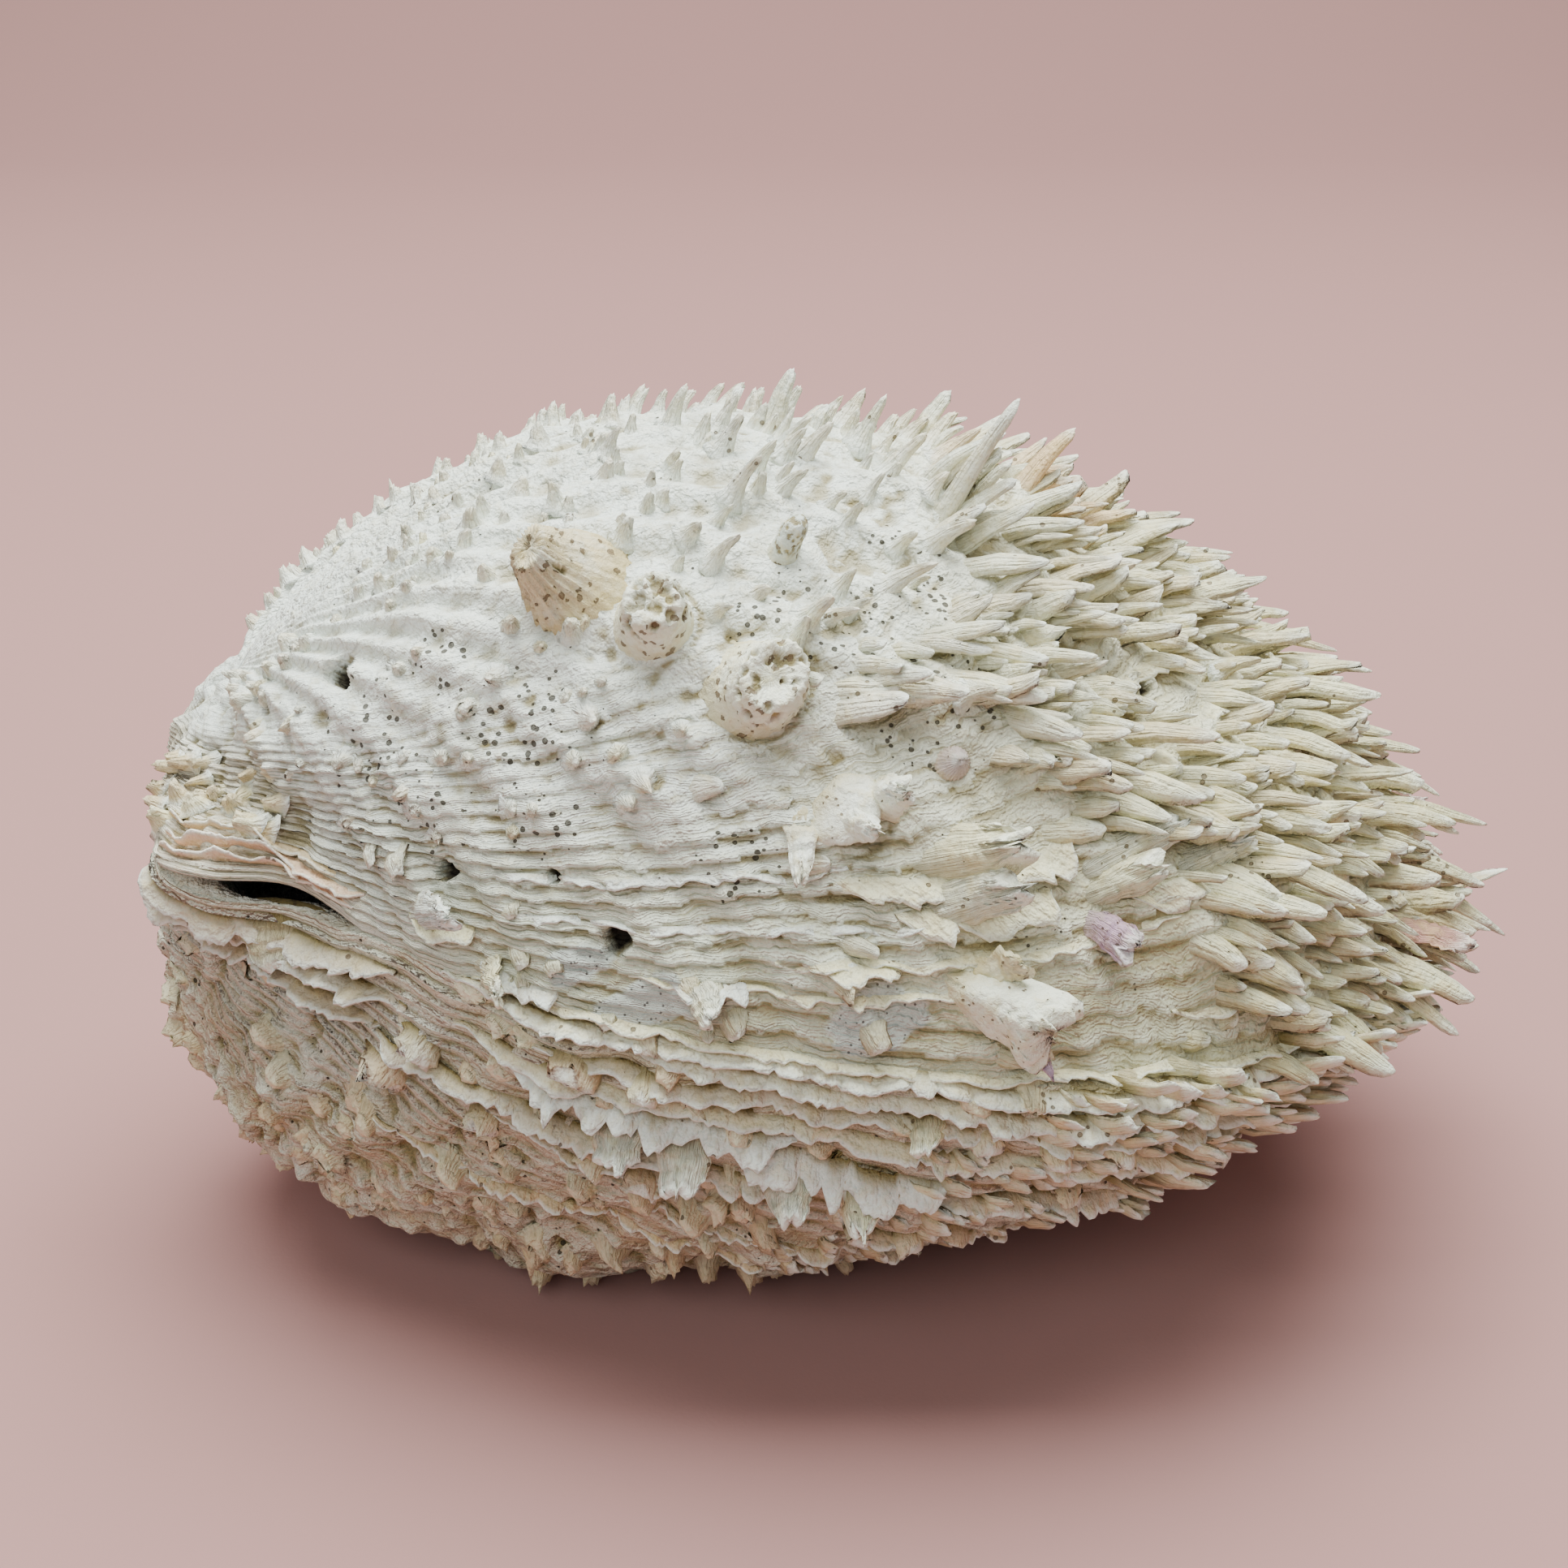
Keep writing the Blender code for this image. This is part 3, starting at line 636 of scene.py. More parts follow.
def blades(name, sites, around, steps, flare, depth, material):
    """Closed, fluted spines, all in one mesh. Each site gives a point, directions and sizes."""
    count = len(sites["length"])
    s = np.array(steps)[None, :, None]
    angle = 2 * np.pi * np.arange(around) / around
    cos, sin = np.cos(angle)[None, None], np.sin(angle)[None, None]
    length, width, thick, tip, arch = (
        sites[k][:, None, None] for k in ("length", "width", "thick", "tip", "arch"))
    own = sites["own"][:, None, None]
    rng = np.random.default_rng(len(steps) * 100 + around)
    point, first, turn, side, normal = (
        sites[k][:, None, :] for k in ("point", "first", "turn", "side", "normal"))
    ahead = np.maximum(s, 0)
    sunk = (depth * thick + 0.3) * (1 - smooth(0.0, 0.5, s))
    centre = point + length * (s * first + ahead ** 2 * turn) - normal * sunk
    heading = unit(first + 2 * ahead * turn)
    across = unit(side - (side * heading).sum(-1, keepdims=True) * heading)
    up = np.cross(heading, across)
    up = np.where((up * normal).sum(-1, keepdims=True) < 0, -up, up)
    root = np.sqrt(1 - 0.96 * (np.minimum(s, 0) / steps[0]) ** 2)
    end = np.sqrt(1 - 0.9 * (np.maximum(s - 0.8, 0) / 0.2) ** 2)
    taper = 1 - (1 - tip) * ahead ** sites["curve"][:, None, None]
    wobble = 1 + 0.07 * rng.standard_normal((count, len(steps), 1)) * (s > 0)
    foot = 1 + flare * np.exp(-ahead / 0.14)
    half = width / 2 * foot * taper * wobble * root * end
    deep = thick / 2 * foot * (1 - 0.4 * ahead) * (0.5 + 0.5 * taper) * root * end
    flutes = 1 + 0.24 * np.cos(7 * cos + 9 * own) * (sin > 0)
    flutes = flutes + 0.06 * rng.standard_normal((count, len(steps), around))
    u = half * cos
    v = deep * sin * flutes - arch * half * cos ** 2
    lift = 0.16 * width * rng.standard_normal((count, 1, around)) * smooth(0.55, 0.85, s) * end ** 2
    p = (centre[:, :, None] + across[:, :, None] * u[..., None] + up[:, :, None] * v[..., None]
         + heading[:, :, None] * lift[..., None])
    ends = np.stack([p[:, 0].mean(1), p[:, -1].mean(1) + heading[:, -1] * 0.15 * sites["thick"][:, None]], 1)
    each = len(steps) * around + 2
    points = np.concatenate([p.reshape(count, -1, 3), ends], 1)
    quads = band_faces(len(steps), around)
    caps = np.vstack([fan_faces(0, around, each - 2, True),
                      fan_faces((len(steps) - 1) * around, around, each - 1)])
    shift = (np.arange(count) * each)[:, None, None]
    reach = np.concatenate([np.broadcast_to(s, (count, len(steps), around)).reshape(count, -1),
                            np.tile([0.0, 1.0], (count, 1))], 1)
    flute = np.concatenate([np.broadcast_to(cos, (count, len(steps), around)).reshape(count, -1),
                            np.zeros((count, 2))], 1)
    attributes = {
        "tint": np.repeat(sites["tint"], each, 0),
        "reach": np.clip(reach, 0, 1).ravel(),
        "flute": (flute + 10 * sites["own"][:, None]).ravel(),
    }
    return make(name, points.reshape(-1, 3), (quads[None] + shift).reshape(-1, 4),
                (caps[None] + shift).reshape(-1, 3), attributes, material)


BLADE_STEPS = (-0.3, -0.16, 0.0, 0.16, 0.34, 0.52, 0.7, 0.84, 0.94, 1.0)
SHINGLE_STEPS = (-0.3, 0.0, 0.22, 0.45, 0.68, 0.86, 0.96, 1.0)
CONE_STEPS = (-0.3, 0.0, 0.12, 0.3, 0.55, 0.8, 0.94, 1.0)
NUB_STEPS = (-0.4, 0.0, 0.4, 0.75, 1.0)

# One spine: place, length, heading off the surface and to the margin, width, thickness, share of it at
# the tip, arch, how late it tapers, bend and lean, heading to the floor, and its own colour if it has one
Spine = namedtuple("Spine", "tau phi length rise out width thick tip arch curve turn sway droop tint",
                   defaults=(0.25, 1.6, 0.15, 0.0, 0.0, None))

# Places on the upper valve that the small scales leave free
CLEARINGS = [(0.300, 0.200), (0.315, 0.1575), (0.125, 0.200), (0.180, 0.190), (0.100, 0.200),
             (0.150, 0.165), (0.065, 0.2375)]

# Small lumps on the near ear
EAR_LUMPS = 26

# Where the newest spines keep an orange flush
FLUSH_PLACE = (0.425, 0.9975)
FLUSH_REACH = (7, 17)

# Shortest spine, where the floor is near
SHORTEST = 0.6


class Sites:
    """Collects the places and sizes of spines."""

    def __init__(self, valve, seed, forward=0.0, warmth=1.0):
        self.valve = valve
        self.forward = forward
        self.warmth = warmth
        self.rng = random.Random(seed)
        self.rows = []

    def add(self, *row, **more):
        self.rows.append(Spine(*row, **more))

    def swells(self, share):
        return [(r.tau, r.phi, r.width, share * r.width * min(1.0, r.length / 5)) for r in self.rows]

    def arrays(self):
        table = np.array([r[:-1] for r in self.rows])
        tau, phi, length, rise, out, width, thick, tip, arch, curve, turn, sway, droop = table.T
        p, normal, along = self.valve.place(tau, phi)
        side = np.cross(normal, along)
        ahead = self.forward * smooth(85, 110, margin(phi)[0]) * smooth(0.5, 0.7, out)
        ahead = ahead * (1 - 0.75 * np.clip(-(normal * DOWN).sum(-1), 0, 1))
        first = unit(normal * rise[:, None] + along * out[:, None] + side * sway[:, None]
                     + DOWN * droop[:, None] + FORWARD * ahead[:, None])
        fall = (first @ PLACING[:3, :3].T)[:, 2]
        room = np.where(fall < -0.02, (rest(p)[:, 2] - 1.0) / np.maximum(-fall, 0.02), 99)
        length = np.minimum(length, np.maximum(room, SHORTEST))
        own = np.array([self.rng.random() for _ in self.rows])
        return {"point": p, "normal": normal, "first": first, "turn": along * turn[:, None], "side": side,
                "length": length, "width": width, "thick": thick, "tip": tip, "arch": arch, "curve": curve,
                "own": own, "tint": self.tints(tau, phi, p, own)}

    def tints(self, tau, phi, p, own):
        tint = shell_tint(self.valve.name, tau, phi, p)
        warm = np.where((np.arange(len(own)) % 3 == 0)[:, None], TAN * 1.15, CREAM)
        tint = mix(tint, warm, self.warmth * (0.25 + 0.4 * own))
        flush = np.linalg.norm(p - surface("upper_valve", *FLUSH_PLACE), axis=-1)
        tint = mix(tint, ORANGE, 0.75 * (1 - smooth(*FLUSH_REACH, flush)) * (own > 0.45))
        for k, r in enumerate(self.rows):
            if r.tint is not None:
                tint[k] = r.tint
        return tint


def clear_of(tau, phi, places, span):
    """True where no placed growth is nearer than this many millimetres."""
    p = surface("upper_valve", tau, phi)
    return all(np.linalg.norm(surface("upper_valve", *at) - p) > span for at in places)


def grid_places(rng, spread, jitter):
    """Uneven places all over a valve, two to a column, each with its random chance and size."""
    for j in range(RINGS - 1):
        for k in range(COLUMNS * 2):
            phi = (k + 0.5 * (j % 2) + rng.uniform(-spread, spread)) / (COLUMNS * 2)
            tau = ring_at(j + 0.5) + rng.uniform(-jitter, jitter)
            yield j, tau, phi, rng.random(), rng.uniform(0.6, 1.3)


def upper_sites(valve):
    """Blades, shingles, cones and nubs of the upper valve."""
    rng = random.Random(301)
    pick = rng.uniform
    blade = Sites(valve, 1, forward=0.3, warmth=0.7)
    shingle = Sites(valve, 7, forward=1.0, warmth=0.7)
    cone, nub = (Sites(valve, seed, warmth=0.5) for seed in (2, 3))
    for (j, i), (length, lean, kind) in sorted(spine_rows("upper_valve").items()):
        tau, phi = cell_middle(j, i)
        if kind == "long":
            wide, extra = (5.2, 6) if length > 15 else (4.2, 2)
            blade.add(tau, phi, length, 1.0, lean, wide, 2.8, 0.55, 0.2, 1.5, 0.05)
            for _ in range(extra):
                blade.add(tau + pick(-0.05, 0.03), phi + pick(-0.014, 0.014), length * pick(0.35, 0.6), 1.0,
                          lean + pick(0.1, 0.5), pick(3.2, 4.6), 2.2, 0.5, 0.15, 1.4)
        elif kind == "blade":
            for k, share in ((0, 1.0), (-1, 0.86), (1, 0.78)):
                blade.add(tau + pick(-0.012, 0.012), phi + (k * 0.33 + pick(-0.08, 0.08)) / COLUMNS,
                          length * share * pick(0.9, 1.08), pick(0.45, 0.95), 1.0, pick(2.8, 4.8),
                          pick(1.1, 1.8), pick(0.3, 0.7), pick(0.3, 0.8), pick(1.2, 2.6),
                          pick(-0.05, 0.25), pick(-0.3, 0.3))
        elif kind == "tab":
            blade.add(tau, phi, length * 0.75, 0.5, 1.1, pick(3.6, 5.8), 1.2, 0.55, 0.6, 1.8, 0.2)
        else:
            tall = 0.4 + 0.6 * float(smooth(30, 75, surface("upper_valve", tau, phi)[0]))
            cone.add(tau, phi, length * tall * 0.8, 1.0, lean * 0.8, pick(2.6, 3.6), 2.6, 0.2, 0.1, 0.9, 0.1)
    for j, tau, phi, chance, size in grid_places(rng, 0.25, 0.018):
        x = margin(phi)[0]
        if tau < 0.004 or tau > 0.86 or not clear_of(tau, phi, list(STUMPS) + list(HOLES), 6.5):
            continue
        front = float(smooth(96, 120, x)) * (1 - float(smooth(0.34, 0.52, tau)))
        guest = kept_clear("upper_valve", j, int(phi * COLUMNS))
        out_here = surface("upper_valve", tau, phi)[0]
        tall = 0.35 + 0.65 * float(smooth(30, 75, out_here))
        near = smooth(0.14, 0.2, phi) * (1 - smooth(0.44, 0.48, phi)) * (1 - smooth(55, 95, out_here))
        calm = 1 - 0.65 * float(near)
        if front > 0.3 and not guest:
            for k in range(3):
                large = rng.random() ** 1.5
                if rng.random() < 0.2:
                    continue
                shingle.add(tau + (k - 1) * 0.018 + pick(-0.008, 0.008), phi + pick(-0.6, 0.6) / COLUMNS / 2,
                            size * (4.0 + 4.5 * large + 2.5 * float(smooth(100, 165, x))), pick(0.4, 1.05),
                            0.75, 2.0 + 3.2 * large + pick(-0.4, 0.4), pick(0.8, 1.4), pick(0.25, 0.7),
                            pick(0.3, 1.0), pick(1.0, 3.0), pick(-0.25, 0.35), pick(-0.35, 0.35))
        elif guest and x > 92 and tau < 0.42:
            if chance < 0.35 and clear_of(tau, phi, CLEARINGS, 7.5):
                shingle.add(tau, phi, size * pick(4.0, 7.0), pick(0.15, 0.4), 0.7, pick(2.6, 4.4),
                            pick(0.9, 1.4), pick(0.3, 0.7), pick(0.3, 0.8), pick(1.2, 2.4), 0.1,
                            pick(0.5, 1.3))
        elif tau > 0.27 and x > 14:
            if chance < (0.26 + 0.66 * tall) * calm:
                large = rng.random() ** 2
                cone.add(tau, phi, size * tall * (2.8 + 3.6 * large), 1.0, pick(0.2, 0.7), 1.8 + 1.9 * large,
                         1.7 + 1.4 * large, pick(0.15, 0.4), 0.1, 0.9, pick(-0.1, 0.2), pick(-0.2, 0.2))
            elif chance < (0.55 + 0.3 * tall) * calm:
                nub.add(tau, phi, size * 0.8, 1.0, 0.5, pick(1.4, 2.8), 1.6, 0.5, 0.0, 1.6, 0.0,
                        tint=mix(WHITE, CREAM, rng.random()))
        elif x > 30 and not guest and chance < 0.16:
            shingle.add(tau, phi, size * 2.8, 0.4, 1.0, pick(2.8, 4.8), 1.0, 0.6, 0.5, 1.5)
    for _ in range(EAR_LUMPS):
        tau, phi = pick(0.12, 0.42), pick(0.392, 0.462)
        cone.add(tau, phi, pick(1.0, 3.0), 1.0, pick(-0.5, 0.3), pick(2.4, 4.4), pick(1.8, 3), 0.3, 0.1, 1.0,
                 0.0, pick(-0.4, 0.4), 0.0, mix(TAN, CREAM, rng.random()))
    return blade, shingle, cone, nub


def lower_sites(valve):
    """Blades, shingles, cones and nubs of the lower valve."""
    rng = random.Random(302)
    pick = rng.uniform
    blade, shingle = Sites(valve, 4, forward=0.3), Sites(valve, 8, forward=0.8)
    cone, nub = Sites(valve, 5), Sites(valve, 6)
    for (j, i), (length, lean, kind) in sorted(spine_rows("lower_valve").items()):
        tau, phi = cell_middle(j, i)
        if kind == "blade":
            for k, share in ((0, 1.0), (-1, 0.8), (1, 0.7)):
                blade.add(tau, phi + (k * 0.33 + pick(-0.06, 0.06)) / COLUMNS,
                          length * share * pick(0.9, 1.08), pick(0.5, 0.9), 0.9, pick(3.2, 5.4),
                          pick(1.3, 2.0), pick(0.35, 0.75), pick(0.2, 0.6), pick(1.4, 3.0),
                          pick(-0.1, 0.2), pick(-0.25, 0.25))
        elif kind == "tab":
            blade.add(tau, phi, length * 0.6, 1.0, 0.3, pick(5.0, 7.5), 1.5, 0.75, 0.4, 2.4, -0.2, 0.0, 0.5)
        else:
            cone.add(tau, phi, length * 0.62, 1.0, lean, pick(3.4, 5.0), 2.8, 0.75, 0.2, 1.8)
    for j, tau, phi, chance, size in grid_places(rng, 0.3, 0.02):
        x = margin(phi)[0]
        if tau < 0.01 or tau > 0.9 or x < 26 and tau < 0.2:
            continue
        front = float(smooth(100, 125, x)) * (1 - float(smooth(0.3, 0.5, tau)))
        tall = 0.35 + 0.65 * float(smooth(30, 80, surface("lower_valve", tau, phi)[0]))
        if front > 0.3:
            short = 1 - 0.55 * float(smooth(0.1, 0.3, tau))
            for k in range(2):
                if rng.random() < 0.25:
                    continue
                shingle.add(tau + (k - 0.5) * 0.026 + pick(-0.008, 0.008),
                            phi + pick(-0.6, 0.6) / COLUMNS / 2,
                            size * short * (4.8 + 3.2 * float(smooth(100, 165, x))), pick(0.4, 0.8), 0.9,
                            pick(3.0, 5.6), pick(1.2, 1.9), pick(0.5, 0.85), pick(0.2, 0.7),
                            pick(1.6, 3.0), pick(-0.1, 0.2), pick(-0.3, 0.3))
        elif chance < (0.08 + 0.30 * tall) * (0.4 + 0.6 * float(smooth(20, 60, x))):
            cone.add(tau, phi, size * tall * pick(1.6, 3.0), 1.0, pick(0.0, 0.4), pick(3.0, 5.2),
                     pick(2.2, 3.4), pick(0.6, 0.9), 0.2, 1.8, pick(-0.1, 0.2), pick(-0.3, 0.3))
        elif chance < 0.34 and x > 60:
            nub.add(tau, phi, size * 0.9, 1.0, 0.2, pick(2.2, 4.6), 2.2, 0.6, 0.0, 1.8)
    return blade, shingle, cone, nub


def tube(rings, shade, tint, reach, flute, last=1.0):
    """Closed tube from rings of corners, with its colours and the two coordinates of its streaks."""
    rows, around = rings.shape[:2]
    points = np.vstack([rings.reshape(-1, 3), rings[0].mean(0), rings[-1].mean(0)])
    caps = np.vstack([fan_faces(0, around, rows * around, True),
                      fan_faces((rows - 1) * around, around, rows * around + 1)])
    tints = np.vstack([np.broadcast_to(shade, rings.shape).reshape(-1, 3), tint, tint])
    reach = np.concatenate([np.broadcast_to(reach, (rows, around)).ravel(), [0.0, last]])
    flute = np.concatenate([np.broadcast_to(flute, (rows, around)).ravel(), [0.0, 0.0]])
    return points, band_faces(rows, around), caps, tints, reach, flute


def frill(valve, tau, ends, length, rise, out, droop, teeth, depth, seed, tint, crimp=0.5, thick=0.75,
          lobed=False):
    """One lamella along a growth line, with a ragged or toothed free edge. Gives a tube's lists."""
    count = max(int((ends[1] - ends[0]) * FRILL_STEPS), 12)
    phi = np.linspace(ends[0], ends[1], count)
    share = np.linspace(0, 1, count)

    def waver(steps, own):
        return grain(np.stack([phi * steps, phi * 0, phi * 0], -1), 1.0, own)

    p, normal, along = valve.place(np.maximum(tau + 0.006 * waver(60, seed), 0.001), phi)
    k = share * teeth + 0.8 * waver(110, seed + 1)
    whole = np.floor(k)
    peak = np.sin(np.pi * (k - whole)) ** 0.6 if lobed else (1 - np.abs(2 * (k - whole) - 1)) ** 1.2
    own = 0.5 + 0.5 * steps_of(whole, seed + 2)
    shape = 1 - depth + depth * (0.25 + 0.75 * own) * peak
    shape = shape + 0.10 * waver(700, seed + 3)
    ends_off = np.minimum(smooth(0, 0.12, share), smooth(0, 0.12, 1 - share))
    reach = length * np.maximum(shape, 0.12) * (0.05 + 0.95 * ends_off)
    heading = unit(normal * rise + along * out + DOWN * droop)
    tangent = unit(np.gradient(p, axis=0))
    up = unit(np.cross(heading, tangent))
    up = np.where((up * (normal * 0.6 + along)).sum(-1, keepdims=True) < 0, -up, up)
    wave = crimp * np.cos(2 * np.pi * FINE_RIBS * 0.8 * phi + 2 * grain(p, 20, seed))
    if lobed:
        wave = 0.4 * wave + 2.4 * crimp * (peak - 0.5)
    outwards = np.arange(FRILL_ROWS) / (FRILL_ROWS - 1)
    both = np.concatenate([outwards, outwards[::-1]])
    loops = []
    for step, a in enumerate(both):
        face = 1 if step < FRILL_ROWS else -1
        lift = reach * a - 0.7 * (1 - a)
        half = thick / 2 * (1 - 0.6 * a)
        curl = -0.10 * reach * a * a
        loops.append(p + heading * lift[:, None] + up * (face * half + wave * a + curl)[:, None])
    return tube(np.stack(loops, 1), tint, tint, both, (phi * FINE_RIBS)[:, None], 0.0)


def frills(valve, lace, seed, **look):
    """Lamellae from rows of place, ends, length, rise, out, droop, teeth, depth of the teeth and colour."""
    return [frill(valve, *row[:-1], seed + 9 * k, row[-1], **look) for k, row in enumerate(lace)]


def join(name, pieces, material):
    """Lamellae and other small growths joined as one mesh."""
    points, quads, caps, tints, reach, flute = zip(*pieces)
    starts = np.cumsum([0] + [len(p) for p in points])
    quads, caps = (np.vstack([f + start for f, start in zip(faces, starts)]) for faces in (quads, caps))
    attributes = {"tint": np.vstack(tints), "reach": np.concatenate(reach), "flute": np.concatenate(flute)}
    return make(name, np.vstack(points), quads, caps, attributes, material)


def turned(valve, form, seed, roughness):
    """A lofted growth standing on the surface."""
    around, fine = STUMP_GRID
    p, normal, along = valve.place(*form.at)
    side = np.cross(normal, along)
    axis = unit(normal + along * form.lean + side * form.sway)
    across = unit(side - axis * (side * axis).sum())
    ahead = np.cross(axis, across)
    if (ahead * along).sum() < 0:
        ahead = -ahead
    line = through(form.rows, fine)
    angle = 2 * np.pi * np.arange(around) / around
    h, ru, rv, slide = (line[:, k][:, None] for k in range(4))
    q = (p + axis * h[..., None] + across * (ru * np.cos(angle))[..., None]
         + ahead * (rv * np.sin(angle) + slide)[..., None])
    middle = p + axis * form.rows[len(form.rows) // 2][0] * 0.4
    out = unit(q - middle)
    bumps = roughness * clouds(q, 2.4, seed, 3) + form.flutes * np.cos(angle * 26 + 2 * clouds(q, 6, seed))
    q = q + out * bumps[..., None]
    count, size, depth = form.pits
    dip = np.zeros(q.shape[:2])
    if count:
        rng = np.random.default_rng(seed)
        pick = rng.integers(0, int(fine * PITTED_TOP), count) + int(fine * (1 - PITTED_TOP))
        centres = q[pick, rng.integers(0, around, count)]
        sizes = size * rng.uniform(0.6, 1.3, count)
        d = np.linalg.norm(q[:, :, None] - centres[None, None], axis=-1) / sizes
        dip = (1 - smooth(0.55, 1.0, d)).max(-1)
        q = q - out * (dip * depth)[..., None]
    shade = mix(np.asarray(form.tint)[None, None], OCHRE * 0.35, 0.9 * smooth(0.3, 0.9, dip))
    return tube(q, shade, form.tint, np.linspace(0, 1, fine)[:, None], angle * 3)


def broad(valve, sheet, seed):
    """One broad sheet with a ragged end, such as an old scale or a piece of a settled shell."""
    at, tint, length, rise, out, width, tip, arch, thick, sway, droop, curl, ragged = sheet
    rows, around = SHEET_GRID
    p, normal, along = valve.place(*at)
    side = np.cross(normal, along)
    heading = unit(normal * rise + along * out + side * sway + DOWN * droop)
    across = unit(np.cross(heading, normal))
    up = unit(np.cross(across, heading))
    if (up * normal).sum() < 0:
        up, across = -up, -across
    s = np.linspace(-0.25, 1.0, rows)[:, None]
    out_share = np.clip(s, 0, 1)
    angle = 2 * np.pi * np.arange(around) / around
    cos, sin = np.cos(angle), np.sin(angle)
    zero = 0 * s + 0 * cos
    flank = np.stack([s * 3 + zero, np.sign(cos) * 5 + zero, zero], -1)
    grow = (1 + (tip - 1) * out_share) * (1 + 0.30 * clouds(flank, 1.0, seed, 3))
    root = np.sqrt(1 - 0.96 * (np.minimum(s, 0) / 0.25) ** 2)
    end = np.sqrt(1 - 0.6 * (np.maximum(s - 0.92, 0) / 0.08) ** 2)
    u = width / 2 * grow * root * end * cos
    edge = ragged * length * clouds(np.stack([cos * 3.2 + zero, zero, zero], -1), 1.0, seed + 2, 3)
    edge = edge * smooth(0.35, 1.0, s)
    v = thick / 2 * (1 - 0.35 * out_share) * root * end * sin - arch * width * grow * root / 2 * cos ** 2
    sunk = 0.5 * thick * (1 - smooth(0.0, 0.4, s))
    q = (p + heading * (length * s + edge)[..., None] + across * u[..., None] - normal * sunk[..., None]
         + up * (v + curl * length * out_share ** 2)[..., None])
    ridge = clouds(np.stack([s * 2.2 + zero, cos * width * 1.3 + zero, sin + zero], -1), 1.0, seed + 5, 2)
    steps = np.mod(out_share * length / 1.7 + 0.5 * clouds(q, 5.0, seed + 6, 2), 1.0)
    q = q + up * ((0.75 * clouds(q, 2.6, seed + 1, 3) + 0.42 * ridge + 0.45 * steps) * root)[..., None]
    return tube(q, tint, tint, out_share, width * 0.5 * cos)


def sheets(valve, rows, seed):
    return [broad(valve, sheet, seed + k) for k, sheet in enumerate(rows)]


class Nodes:
    """Small helper to wire a material."""

    def __init__(self, name):
        self.material = bpy.data.materials.new(name)
        self.material.use_nodes = True
        self.tree = self.material.node_tree
        self.shader = self.tree.nodes["Principled BSDF"]

    def node(self, kind, **settings):
        made = self.tree.nodes.new(kind)
        for key, value in settings.items():
            setattr(made, key, value)
        return made

    def put(self, socket, value):
        if isinstance(value, bpy.types.NodeSocket):
            self.tree.links.new(value, socket)
        elif isinstance(value, (tuple, list, np.ndarray)):
            value = tuple(float(x) for x in value)
            opaque = (1.0,) * (len(socket.default_value) - len(value))
            socket.default_value = value + opaque
        else:
            socket.default_value = value

    def attribute(self, name, colour=False):
        made = self.node("ShaderNodeAttribute", attribute_name=name)
        return made.outputs["Color" if colour else "Fac"]

    def math(self, operation, a, b=0.0):
        made = self.node("ShaderNodeMath", operation=operation)
        self.put(made.inputs[0], a)
        self.put(made.inputs[1], b)
        return made.outputs[0]

    def times(self, a, b):
        return self.math("MULTIPLY", a, b)

    def ramp(self, value, low, high, start=0.0, end=1.0):
        made = self.node("ShaderNodeMapRange", interpolation_type="SMOOTHSTEP")
        inputs = {"Value": value, "From Min": low, "From Max": high, "To Min": start, "To Max": end}
        for key, x in inputs.items():
            self.put(made.inputs[key], x)
        return made.outputs[0]

    def noise(self, size, detail=3.0, roughness=0.55):
        """Noise with lumps of this many millimetres."""
        made = self.node("ShaderNodeTexNoise")
        made.inputs["Scale"].default_value = 1.0 / (size * MM)
        made.inputs["Detail"].default_value = detail
        made.inputs["Roughness"].default_value = roughness
        self.put(made.inputs["Vector"], self.place())
        return made.outputs["Fac"]

    def cells(self, size):
        made = self.node("ShaderNodeTexVoronoi")
        made.inputs["Scale"].default_value = 1.0 / (size * MM)
        self.put(made.inputs["Vector"], self.place())
        return made.outputs["Distance"]

    def place(self):
        if not hasattr(self, "coordinates"):
            self.coordinates = self.node("ShaderNodeTexCoord").outputs["Object"]
        return self.coordinates

    def blend(self, share, a, b):
        made = self.node("ShaderNodeMix", data_type="RGBA")
        self.put(made.inputs[0], share)
        self.put(made.inputs[6], a)
        self.put(made.inputs[7], b)
        return made.outputs[2]

    def total(self, parts):
        """Sum of heights, each with its own size in millimetres."""
        whole = None
        for value, size in parts:
            made = self.node("ShaderNodeMath", operation="MULTIPLY_ADD")
            self.put(made.inputs[0], value)
            self.put(made.inputs[1], size)
            self.put(made.inputs[2], whole if whole is not None else 0.0)
            whole = made.outputs[0]
        return whole

    def bump(self, parts):
        """One bump from heights in millimetres."""
        made = self.node("ShaderNodeBump")
        made.inputs["Strength"].default_value = 1.0
        made.inputs["Distance"].default_value = MM
        self.put(made.inputs["Height"], self.total(parts))
        return made.outputs[0]

    def finish(self, colour, roughness, normal, gleam):
        self.put(self.shader.inputs["Base Color"], colour)
        self.put(self.shader.inputs["Roughness"], roughness)
        self.put(self.shader.inputs["Normal"], normal)
        self.shader.inputs["Specular IOR Level"].default_value = gleam
        return self.material


